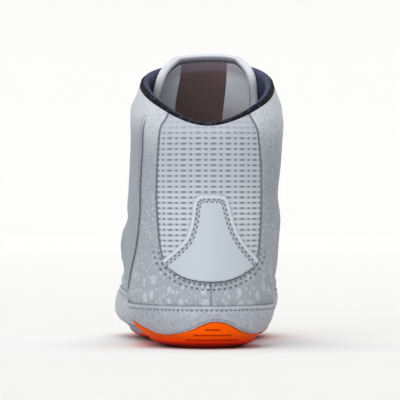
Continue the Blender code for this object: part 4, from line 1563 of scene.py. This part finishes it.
@dataclass
class ThroatPanels:
    """The outer overlay panel and the inner strip, which carry the eyelets."""

    last: Last
    thickness: float = 0.9 * MM
    lift: float = 0.4 * MM
    top: float = 12.3
    panel_foot: float = 3.05
    strip_foot: float = THROAT_FOOT + 0.2
    strip_edge: float = 0.8

    def side_panel(self, leather: bpy.types.Material) -> None:
        """The outer panel, from the throat to the side of the heel.

        Args:
            leather: its material.
        """
        border, far = ([(y * LENGTH - HEEL_REACH, z * COLLAR_FRONT) for y, z in shares]
                       for shares in (LOWER_EDGE, OUTLINE_FAR))
        edge_line, outline = Line(border), Line(border)
        outline.points = np.vstack((outline.points, far))
        sheet = Sheet("side_panel_leather", 190, 150)
        level = self.panel_foot + (self.top - self.panel_foot) * sheet.v
        rear = self.rear_columns(level)
        column = rear - (THROAT_EDGE + rear) * (1 - sheet.u)
        column, level = drawn_to(self.last, column, level, outline, 1, 1.5 * MM)
        base = self.last.place(column, level, 0.0)
        depth = outline.depth(base[:, 1], base[:, 2])
        gap, along = edge_line.distance(base[:, 1], base[:, 2])
        across, up = sheet.runs(base)
        reach = sheet.grid(across)
        back = sheet.flat(reach[:, -1:] - reach)
        edge = np.minimum(gap, (THROAT_EDGE + column) * COLUMN_LENGTH)
        nearest = np.minimum(edge, back)
        out = self.lift + self.thickness - 0.3 * MM * smooth(nearest, 1.0 * MM, 0.0)
        out -= 0.7 * MM * smooth((self.top - level) * LEVEL_HEIGHT, 4.0 * MM, 0.0)
        out += self.last.folds(base) - 0.2 * MM * hump(edge, 2.4 * MM, 0.7 * MM)
        sheet.fit(self.last.place(column, level, out), (across, up))
        sheet.note(edge=edge, back=back, along=along)
        sheet.trim(depth)
        dress(sheet.obj, "panel", leather)
        sheet.thicken(self.thickness)
        obj = sheet.done(60.0)
        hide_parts("side_panel")

    def rear_columns(self, levels: np.ndarray) -> np.ndarray:
        """The column of the outer panel's rear edge at each level.

        Args:
            levels: places up the wall.

        Returns:
            A column for each level.
        """
        heights = [z * COLLAR_FRONT for z, _ in REAR_EDGE]
        reaches = [y * LENGTH - HEEL_REACH for _, y in REAR_EDGE]
        columns = np.linspace(-0.10, -0.75, 260)
        found = {}
        for level in np.unique(np.round(levels, 6)):
            spots = self.last.place(columns, np.full(260, level), 0.0)
            ahead = spots[:, 1] - np.interp(spots[:, 2], heights, reaches)
            found[level] = float(np.interp(0.0, ahead, columns))
        return np.array([found[level] for level in np.round(levels, 6)])

    def eyestay(self, leather: bpy.types.Material) -> None:
        """The inner strip beside the throat.

        Args:
            leather: its material.
        """
        sheet = Sheet("eyestay_leather", 30, 120)
        level = self.strip_foot + (self.top - self.strip_foot) * sheet.v
        column = self.strip_edge + (THROAT_EDGE - self.strip_edge) * sheet.u
        base = self.last.place(column, level, 0.0)
        across, up = sheet.runs(base)
        edge = np.minimum(
            np.minimum(column - self.strip_edge, THROAT_EDGE - column) * COLUMN_LENGTH,
            np.minimum(level - self.strip_foot, self.top - level) * LEVEL_HEIGHT)
        out = self.lift + self.thickness - 0.3 * MM * smooth(edge, 1.0 * MM, 0.0)
        out += self.last.folds(base)
        sheet.fit(self.last.place(column, level, out), (across, up))
        sheet.note(edge=edge, back=np.ones_like(edge), along=up)
        dress(sheet.obj, "panel", leather)
        sheet.thicken(self.thickness)
        obj = sheet.done(60.0)
        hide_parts("eyestay")

    def build(self) -> None:
        """Makes both."""
        leather = PanelLeather().make()
        self.side_panel(leather)
        self.eyestay(leather)


@dataclass
class Rand:
    """The suede band between the upper's cloth and the sole's wavy edge."""

    last: Last
    thickness: float = 1.3 * MM
    lift: float = 0.4 * MM
    across: int = 480
    up: int = 34

    def build(self) -> None:
        """Lays the band, with its lip, its stitched groove and soft folds."""
        sheet = Sheet("rand_suede_band", self.across, self.up)
        t = 2 * sheet.u - 1
        column = t * (0.6 + 0.4 * t**2)
        low = self.last.wave(column) + 0.01
        level = low + (RAND_TOP - low) * sheet.v
        base = self.last.place(column, level, 0.0)
        across, up = sheet.runs(base)
        rise = sheet.flat(np.repeat(sheet.grid(up)[-1:], sheet.shape[0], axis=0))
        top, foot = rise - up, up
        out = self.lift + self.thickness + 0.25 * MM * hump(top, 1.5 * MM, 0.9 * MM)
        out -= 0.35 * MM * hump(top, 2.8 * MM, 0.8 * MM)
        out -= 0.7 * MM * smooth(top, 5.0 * MM, 0.0) + 0.5 * MM * smooth(top, 0.7 * MM, 0.0)
        out += 0.5 * MM * np.sin(np.pi * np.clip(foot / np.maximum(rise, 1e-4), 0, 1)) ** 2
        out -= 0.5 * MM * smooth(foot, 1.6 * MM, 0.0)
        for at, width, depth in ((-0.2, 0.014, 0.5), (-0.115, 0.010, 0.35), (0.1, 0.010, 0.4),
                                 (0.19, 0.013, 0.5), (-0.45, 0.02, 0.4), (0.5, 0.02, 0.4)):
            slant = column + (foot - 6 * MM) * 1.2
            out -= depth * MM * hump(slant, at, width) * smooth(top, 3.0 * MM, 8.0 * MM)
        sheet.fit(self.last.place(column, level, out), (across, up))
        sheet.note(top=top, foot=foot)
        weld(sheet.obj, 0.00008)
        dress(sheet.obj, "suede", RandSuede().make())
        sheet.thicken(self.thickness)
        obj = sheet.done(60.0)
        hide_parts("rand")


@dataclass
class Outsole:
    """The rubber cup: wavy edge, rounded turn, arch, toe spring and tread.

    Going up the sheet it is the inner floor to bed, the inner wall to lip, the outer wall to
    base, then the underside.
    """

    last: Last
    bed: float = 0.12
    lip: float = 0.30
    base: float = 0.56
    edge: float = 2.2 * MM
    turn: float = 3.6 * MM
    round: float = 11.0 * MM
    across: int = 440
    up: int = 88

    def under(self, feather: np.ndarray, middle: np.ndarray, share: np.ndarray) -> np.ndarray:
        """Points of the underside, from its rounded edge in to its middle line.

        Args:
            feather: places on the last's foot edge.
            middle: the place on the middle line that each runs to.
            share: 0 at the edge and 1 on the middle line.

        Returns:
            The points.
        """
        span = np.linalg.norm((middle - feather)[:, :2], axis=1)
        inward = share * span
        spots = feather + (middle - feather) * share[:, None]
        base = ground(spots[:, 1])
        near = np.clip(1.0 - inward / self.round, 0.0, 1.0)
        lift = 1.0 - np.sqrt(np.clip(1.0 - near**2, 0.0, 1.0))
        spots[:, 2] = base + (feather[:, 2] - base) * lift
        groove = np.zeros(len(spots))
        for at in (0.22, 0.50, 0.57, 0.64, 0.71):
            groove = np.maximum(groove, smooth(np.abs(spots[:, 1] - at * LENGTH + HEEL_REACH),
                                               2.0 * MM, 1.1 * MM))
        spots[:, 2] += 1.1 * MM * groove * smooth(inward, 4.0 * MM, 9.0 * MM)
        return spots

    def build(self) -> None:
        """Lays the cup from its inner floor over its edge to the middle of the tread."""
        sheet = Sheet("outsole_rubber", self.across, self.up)
        column = 2 * sheet.u - 1
        edge = self.last.wave(column) - 0.03
        zero = np.zeros_like(column)
        feather = self.last.place(column, zero, 0.0)
        other = self.last.place(-column, zero, 0.0)
        middle = (feather + other) / 2
        middle[:, 1] = MIDWAY + (middle[:, 1] - MIDWAY) * 0.82
        v = sheet.v
        spots = self.under(feather, middle,
                           np.clip((v - self.base) / (1.0 - self.base), 0.0, 1.0) ** 1.5)
        near = np.clip((v - self.base) / 0.14, 0.0, 1.0)
        out = self.last.normals(self.last.turns(column, zero), zero)
        spots += out * (self.turn * (1.0 - near) ** 2)[:, None] * (v >= self.base)[:, None]
        wall = (v >= self.lip) & (v < self.base)
        share = np.clip((self.base - v) / (self.base - self.lip), 0.0, 1.0)
        thick = self.edge + (self.turn - self.edge) * (1.0 - share) ** 2
        thick = thick - 1.0 * MM * smooth(share, 0.88, 1.0) ** 2
        side = self.last.place(column, edge * share, thick)
        spots[wall] = side[wall]
        inner = (v >= self.bed) & (v < self.lip)
        drop = np.clip((v - self.bed) / (self.lip - self.bed), 0.0, 1.0)
        lining = self.last.place(column, edge * drop, 0.35 * MM)
        spots[inner] = lining[inner]
        bed = v < self.bed
        reach = (1.0 - np.clip(v / self.bed, 0.0, 1.0))[:, None]
        floor = feather + (middle - feather) * reach
        floor[:, 2] = feather[:, 2] + (middle[:, 2] - feather[:, 2]) * reach[:, 0] - 0.5 * MM
        spots[bed] = floor[bed]
        sheet.fit(spots, sheet.runs(spots))
        weld(sheet.obj, 0.0001)
        dress(sheet.obj, "sole_rubber", SoleRubber().make())
        obj = sheet.done(50.0)
        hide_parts("outsole")


@dataclass
class Insole:
    """The footbed inside the shoe."""

    last: Last
    thickness: float = 3.0 * MM

    def build(self) -> None:
        """Lays the footbed's top from its rim in to the middle line, and thickens it down."""
        sheet = Sheet("insole_footbed", 240, 26)
        column = 2 * sheet.u - 1
        zero = np.zeros_like(column)
        feather = self.last.place(column, zero, 0.0)
        level = self.last.level_at(column, feather[:, 2] + 4.2 * MM)
        rim = self.last.place(column, level, -WALL - 1.2 * MM)
        middle = (rim + self.last.place(-column, level, -WALL - 1.2 * MM)) / 2
        middle[:, 1] = MIDWAY + (middle[:, 1] - MIDWAY) * 0.85
        share = (1.0 - sheet.v) ** 1.3
        spots = rim + (middle - rim) * share[:, None]
        spots[:, 2] += 0.6 * MM * (1 - share) ** 3 - 0.3 * MM
        sheet.fit(spots, sheet.runs(spots))
        weld(sheet.obj, 0.0001)
        dress(sheet.obj, "footbed", FootbedCloth().make())
        point_out(sheet.obj)
        mesh = sheet.obj.data
        if sum(face.normal.z for face in mesh.polygons) < 0:
            mesh.flip_normals()
        sheet.thicken(self.thickness)
        obj = sheet.done(50.0)
        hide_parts("insole")


@dataclass
class CollarLining:
    """The padded dark lining, rolled over the collar's rim."""

    last: Last
    thickness: float = 3.0 * MM
    bead: float = 2.4 * MM

    def build(self) -> None:
        """Sweeps the rolled profile round the collar."""
        tall = COLLAR_BACK * 0.062
        bead = self.bead / tall
        inside = WALL + 0.3 * MM
        depth = inside + self.thickness
        profile = (
            (RIM + 0.04 + bead * 0.5, 0.1 * MM), (RIM + 0.04 + bead * 0.9, WALL * 0.55),
            (RIM + 0.04 + bead, WALL * 1.1), (RIM + bead * 0.8, depth * 0.85),
            (RIM - 0.05, depth), (12.5, depth + 0.3 * MM), (12.0, depth), (11.4, depth),
            (10.7, depth * 0.97), (10.2, depth * 0.85), (LINING_FOOT, inside + 0.9 * MM),
            (10.0, inside), (10.5, inside), (11.2, inside), (12.0, inside), (12.6, inside),
            (RIM + 0.02, inside * 0.97), (RIM + 0.035, WALL * 0.5),
            (RIM + 0.04, 0.15 * MM), (RIM + 0.04 + bead * 0.5, 0.1 * MM))
        scaled = [(level * tall, offset) for level, offset in profile]
        line = Line(scaled, 1.0, 3)
        sheet = Sheet("collar_lining_pad", 300, len(line.points) - 1)
        column = THROAT_EDGE * (2 * sheet.u - 1)
        index = np.round(sheet.v * (len(line.points) - 1)).astype(int)
        level = line.points[index, 0] / tall
        offset = line.points[index, 1]
        rim = level > RIM + 0.03
        lip = np.where(rim, smooth(offset, WALL * 0.9, WALL * 0.4), 0.0)
        spots = self.last.place(column, level, -offset)
        sheet.fit(spots, sheet.runs(spots))
        sheet.note(lip=lip)
        weld(sheet.obj, 0.00003, fill=True)
        dress(sheet.obj, "lining_fabric", CollarCloth().make())
        point_out(sheet.obj)
        obj = sheet.done(60.0)
        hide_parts("collar_lining")


@dataclass
class Tongue:
    """The padded tongue under the throat, with its rolled edge above the collar."""

    last: Last
    width: float = 100.0 * MM
    foot_width: float = 52.0 * MM
    top_width: float = 52.0 * MM
    thickness: float = 4.6 * MM
    foot: float = 6.1
    shoulder: float = 12.5
    end: float = TONGUE_TOP + 0.2
    across: int = 200
    up: int = 150

    def half(self, levels: np.ndarray) -> np.ndarray:
        """Half of the tongue's width at each level, in metres.

        Args:
            levels: places up the wall.

        Returns:
            A distance for each level.
        """
        low = np.clip((levels - 6.0) / (LINING_FOOT - 6.0), 0.0, 1.0)
        high = np.clip((levels - self.shoulder) / (self.end - self.shoulder), 0.0, 1.0) ** 4
        wide = self.foot_width + (self.width - self.foot_width) * low
        return (wide - (self.width - self.top_width) * high) / 2

    def build(self) -> None:
        """Lays both faces as one closed sheet and rounds them together at the edges."""
        sheet = Sheet("tongue_pad", self.across, self.up)
        level = self.foot + (self.end - self.foot) * (1 - (1 - sheet.v) ** 1.25)
        outer = sheet.u < 0.5
        s = np.where(outer, 4 * sheet.u - 1, 3 - 4 * sheet.u)
        s = np.sign(s) * (1 - (1 - np.abs(s)) ** 1.3)
        half = self.half(level)
        turn = 0.5 - (s * half - 1.5 * MM) / self.last.front_rate(level)
        drop = np.clip((level - 6.6) / 3.0, 0.0, 1.0)
        surface = WALL + 0.9 * MM + 3.3 * MM * drop
        spine = self.last.on_turn(turn, level, -(surface + self.thickness / 2))
        grid = sheet.grid(spine)
        middle = grid[:, self.across // 4]
        rise = np.concatenate(([0.0], np.linalg.norm(np.diff(middle, axis=0), axis=1).cumsum()))
        up = sheet.flat(np.repeat(rise[:, None], sheet.shape[1], axis=1))
        across = s * half
        levels = np.linspace(self.foot, self.end, 40)
        heights = np.interp(levels, sheet.grid(level)[:, 0], rise)
        halves = self.half(levels)
        ring = [*zip(halves, heights), *reversed([*zip(-halves, heights)])]
        edge, along = Line(ring, 1.0, 1).distance(across, up)
        edge = np.where(np.abs(s) > 0.9999, 0.0, edge)
        top = rise[-1] - up
        edge = np.minimum(edge, top)
        radius = 2.4 * MM
        near = np.clip(1.0 - edge / radius, 0.0, 1.0)
        puff = np.sqrt(np.clip(1.0 - near**2, 0.0, 1.0))
        foot = np.clip(up / (6 * MM), 0.0, 1.0) ** 0.5
        swell = self.thickness / 2 * puff * foot
        roll = 0.7 * MM * hump(edge, 2.3 * MM, 1.5 * MM)
        roll -= 0.55 * MM * hump(edge, 4.4 * MM, 0.8 * MM)
        swell = swell + np.where(outer, 0.0, roll * smooth(edge, 0.0, 1.0 * MM) * (level > 9.5))
        side = np.where(outer, 1.0, -1.0)
        spots = self.last.on_turn(turn, level, -(surface + self.thickness / 2) + side * swell)
        sheet.fit(spots, (across, up))
        sheet.note(edge=edge, along=along, top=top, inner=np.where(outer, 0.0, 1.0))
        weld(sheet.obj, 0.00006)
        dress(sheet.obj, "tongue_fabric", TongueCloth().make())
        point_out(sheet.obj)
        obj = sheet.done(70.0)
        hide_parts("tongue")


@dataclass
class Lacing:
    """The eyelets and the flat lace that crosses the throat through them."""

    last: Last
    pairs: int = 7
    lowest: float = 7.1
    highest: float = 11.9
    inset: float = 7.5 * MM
    radius: float = 3.6 * MM
    lace_width: float = 5.6 * MM
    lace_thickness: float = 1.1 * MM
    panel: float = 1.3 * MM

    def level(self, index: int) -> float:
        """The level of a pair of eyelets, counted from the lowest."""
        return self.lowest + (self.highest - self.lowest) * index / (self.pairs - 1)

    def turn(self, level: float, side: int) -> float:
        """The turn of an eyelet's centre: side is 1 on the medial edge and -1 on the lateral.

        Args:
            level: the eyelet's place up the wall.
            side: the edge on which it is.

        Returns:
            The turn.
        """
        at = np.array([level])
        away = self.last.throat_half(at) + self.inset / self.last.front_rate(at)
        return side * (0.5 - float(away[0]))

    def ring(self) -> bpy.types.Object:
        """Turns one eyelet up from a circle: its flange, crest and barrel.

        Returns:
            The eyelet.
        """
        bpy.ops.object.select_all(action="DESELECT")
        bpy.ops.mesh.primitive_circle_add(vertices=28, radius=self.radius)
        obj = bpy.context.object
        bpy.ops.object.mode_set(mode="EDIT")
        bpy.ops.mesh.select_all(action="SELECT")
        radius, height = self.radius, 0.0
        for wide, high in ((3.55, 0.35), (3.25, 0.62), (2.8, 0.78), (2.35, 0.62), (2.0, 0.25),
                           (1.9, -0.4), (1.9, -1.6)):
            bpy.ops.mesh.extrude_edges_move(
                TRANSFORM_OT_translate={"value": (0.0, 0.0, high * MM - height)})
            factor = wide * MM / radius
            bpy.ops.transform.resize(value=(factor, factor, 1.0))
            radius, height = wide * MM, high * MM
        bpy.ops.object.mode_set(mode="OBJECT")
        return obj

    def eyelets(self) -> None:
        """Copies the ring to every hole and stands it on the panel."""
        plastic = RingPlastic().make()
        first = self.ring()
        for side, word in ((1, "medial"), (-1, "lateral")):
            for index in range(self.pairs):
                level = self.level(index)
                turn = self.turn(level, side)
                at, up = np.array([turn]), np.array([level])
                out = Vector(self.last.normals(at, up)[0])
                centre = Vector(self.last.on_turn(at, up, self.panel)[0])
                copy = first.copy()
                copy.data = first.data.copy()
                copy.name = f"eyelet_{word}_{index + 1}_ring"
                bpy.context.scene.collection.objects.link(copy)
                spin = out.to_track_quat("Z", "Y").to_matrix().to_4x4()
                copy.data.transform(Matrix.Translation(centre) @ spin)
                only(copy)
                bpy.ops.object.shade_smooth_by_angle(angle=math.radians(60))
                dress(copy, "eyelet", plastic)
                apply_modifier(copy, "SOLIDIFY", thickness=0.25 * MM, offset=-1.0)
                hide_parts(f"eyelet_{word}_{index + 1}")
        bpy.data.objects.remove(first)

    def run(self, start: tuple[float, int], end: tuple[float, int], over: float,
            ) -> tuple[np.ndarray, np.ndarray]:
        """The route of one stretch from under an eyelet over the throat into the next.

        Args:
            start: level and side of the first eyelet.
            end: level and side of the second.
            over: how much higher the stretch lies where it crosses another.

        Returns:
            The points and the directions out of the shoe.
        """
        share = np.linspace(0.0, 1.0, 41)
        t = np.clip((share - 0.08) / 0.84, 0.0, 1.0)
        level = start[0] + (end[0] - start[0]) * t
        reach = [0.5 - abs(self.turn(height, 1)) for height in level]
        away = start[1] * (1 - 2 * t) * np.array(reach)
        turn = np.where(away >= 0, 0.5 - away, -(0.5 + away))
        high = self.panel + 0.9 * MM + self.lace_thickness / 2
        dip = np.minimum(share / 0.10, (1.0 - share) / 0.10)
        sink = (1.0 - np.clip(dip, 0.0, 1.0)) ** 1.5 * 4.2 * MM
        offset = high - sink + over * np.sin(np.pi * t) ** 4
        return self.last.on_turn(turn, level, offset), self.last.normals(turn, level)

    def ribbon(self, name: str, route: tuple[np.ndarray, np.ndarray]) -> bpy.types.Object:
        """A flat stretch of lace, drawn narrow where it goes through an eyelet.

        Args:
            name: the stretch's name.
            route: its points and the directions out of the shoe.

        Returns:
            The stretch.
        """
        points, out = route
        count = len(points) - 1
        sheet = Sheet(name, 14, count)
        i = np.round(sheet.v * count).astype(int)
        along = np.gradient(points, axis=0)
        along /= np.linalg.norm(along, axis=1, keepdims=True)
        side = np.cross(along, out)
        side /= np.linalg.norm(side, axis=1, keepdims=True)
        up = np.cross(side, along)
        share = sheet.v
        pinch = np.minimum(share, 1 - share)
        wide = self.lace_width / 2 * (0.5 + 0.5 * smooth(pinch, 0.05, 0.16))
        deep = self.lace_thickness / 2 * (1.5 - 0.5 * smooth(pinch, 0.05, 0.16))
        angle = 2 * np.pi * sheet.u
        x = np.sign(np.cos(angle)) * np.abs(np.cos(angle)) ** 0.6
        z = np.sign(np.sin(angle)) * np.abs(np.sin(angle)) ** 0.6
        spots = points[i] + side[i] * (x * wide)[:, None] + up[i] * (z * deep)[:, None]
        length = np.concatenate(([0.0], np.linalg.norm(np.diff(points, axis=0), axis=1).cumsum()))
        sheet.fit(spots, (x * wide, length[i]))
        weld(sheet.obj, 0.00003, fill=True)
        return sheet.obj

    def lace(self) -> None:
        """The bar at the foot and the crossed stretches, as one piece."""
        pieces = [self.ribbon("lace_flat", self.run((self.lowest, 1), (self.lowest, -1), 0.0))]
        for index in range(self.pairs - 1):
            for side in (1, -1):
                over = 1.3 * MM if side == (1 if index % 2 else -1) else 0.0
                pieces.append(self.ribbon("lace_stretch", self.run(
                    (self.level(index), side), (self.level(index + 1), -side), over)))
        bpy.ops.object.select_all(action="DESELECT")
        for piece in pieces:
            piece.select_set(True)
        bpy.context.view_layer.objects.active = pieces[0]
        bpy.ops.object.join()
        obj = pieces[0]
        point_out(obj)
        bpy.ops.object.shade_smooth_by_angle(angle=math.radians(50))
        dress(obj, "lace_cord", LaceWeave().make())
        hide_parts("lace")

    def build(self) -> None:
        """Makes the eyelets and the lace."""
        self.eyelets()
        self.lace()


@dataclass
class Studio:
    """The floor, the lights and the camera."""

    stand: tuple[float, float, float] = (-0.112, -2.336, 0.098)
    aim: tuple[float, float, float] = (-0.0035, 0.0, 0.0868)
    lens: float = 357.0
    floor_width: float = 12.0
    floor_length: float = 14.0
    floor_front: float = 4.0
    floor_back: float = 5.0
    bend: float = 1.5

    def floor(self) -> None:
        """A pale sweep that runs back and curves up."""
        bpy.ops.object.select_all(action="DESELECT")
        bpy.ops.mesh.primitive_grid_add(x_subdivisions=8, y_subdivisions=48, size=1.0)
        obj = bpy.context.object
        obj.name = "floor"
        for vertex in obj.data.vertices:
            run = (vertex.co.y + 0.5) * self.floor_length - self.floor_front
            past = run - self.floor_back
            angle = min(max(past / self.bend, 0.0), math.pi / 2)
            vertex.co.x *= self.floor_width
            vertex.co.y = min(run, self.floor_back) + self.bend * math.sin(angle)
            rise = self.bend * (1 - math.cos(angle))
            vertex.co.z = rise + max(past - self.bend * math.pi / 2, 0.0)
        only(obj)
        bpy.ops.object.shade_smooth()
        obj.data.materials.append(FloorPaper().make())

    def sun(self, name: str, place: Sequence[float], strength: float, spread: float) -> None:
        """An even light from far off, as soft as its spread in degrees.

        Args:
            name: the light's name.
            place: where it shines from.
            strength: its power.
            spread: how wide it looks, in degrees.
        """
        light = bpy.data.lights.new(name, "SUN")
        light.energy = strength
        light.angle = math.radians(spread)
        obj = bpy.data.objects.new(name, light)
        bpy.context.scene.collection.objects.link(obj)
        obj.rotation_euler = (-Vector(place)).to_track_quat("-Z", "Y").to_euler()

    def lights(self) -> None:
        """Soft light from above and from behind the camera."""
        world = bpy.context.scene.world or bpy.data.worlds.new("world")
        bpy.context.scene.world = world
        world.use_nodes = True
        back = world.node_tree.nodes["Background"]
        back.inputs[0].default_value = (1.0, 1.0, 1.0, 1.0)
        back.inputs[1].default_value = 0.30
        self.sun("front", (-0.26, -0.94, 0.46), 1.30, 40.0)
        self.sun("above", (-0.08, 0.05, 1.0), 1.70, 70.0)

    def camera(self) -> None:
        """The camera, level and behind the heel, as the photograph has it."""
        data = bpy.data.cameras.new("camera")
        data.lens = self.lens
        data.sensor_width = 36.0
        data.clip_end = 50.0
        obj = bpy.data.objects.new("camera", data)
        bpy.context.scene.collection.objects.link(obj)
        obj.location = self.stand
        aim = Vector(self.aim) - obj.location
        obj.rotation_euler = aim.to_track_quat("-Z", "Y").to_euler()
        bpy.context.scene.camera = obj

    def build(self) -> None:
        """Sets the stage."""
        self.floor()
        self.lights()
        self.camera()
        bpy.context.scene.view_settings.view_transform = "Standard"


def main() -> None:
    """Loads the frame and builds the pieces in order."""
    logging.basicConfig(level=logging.INFO, format="%(name)s %(message)s")
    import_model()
    last = Last()
    Studio().build()
    Outsole(last).build()
    Insole(last).build()
    Upper(last).build()
    Rand(last).build()
    CollarLining(last).build()
    Tongue(last).build()
    HeelPatch(last).build()
    ThroatPanels(last).build()
    Lacing(last).build()


if __name__ == "__main__":
    main()
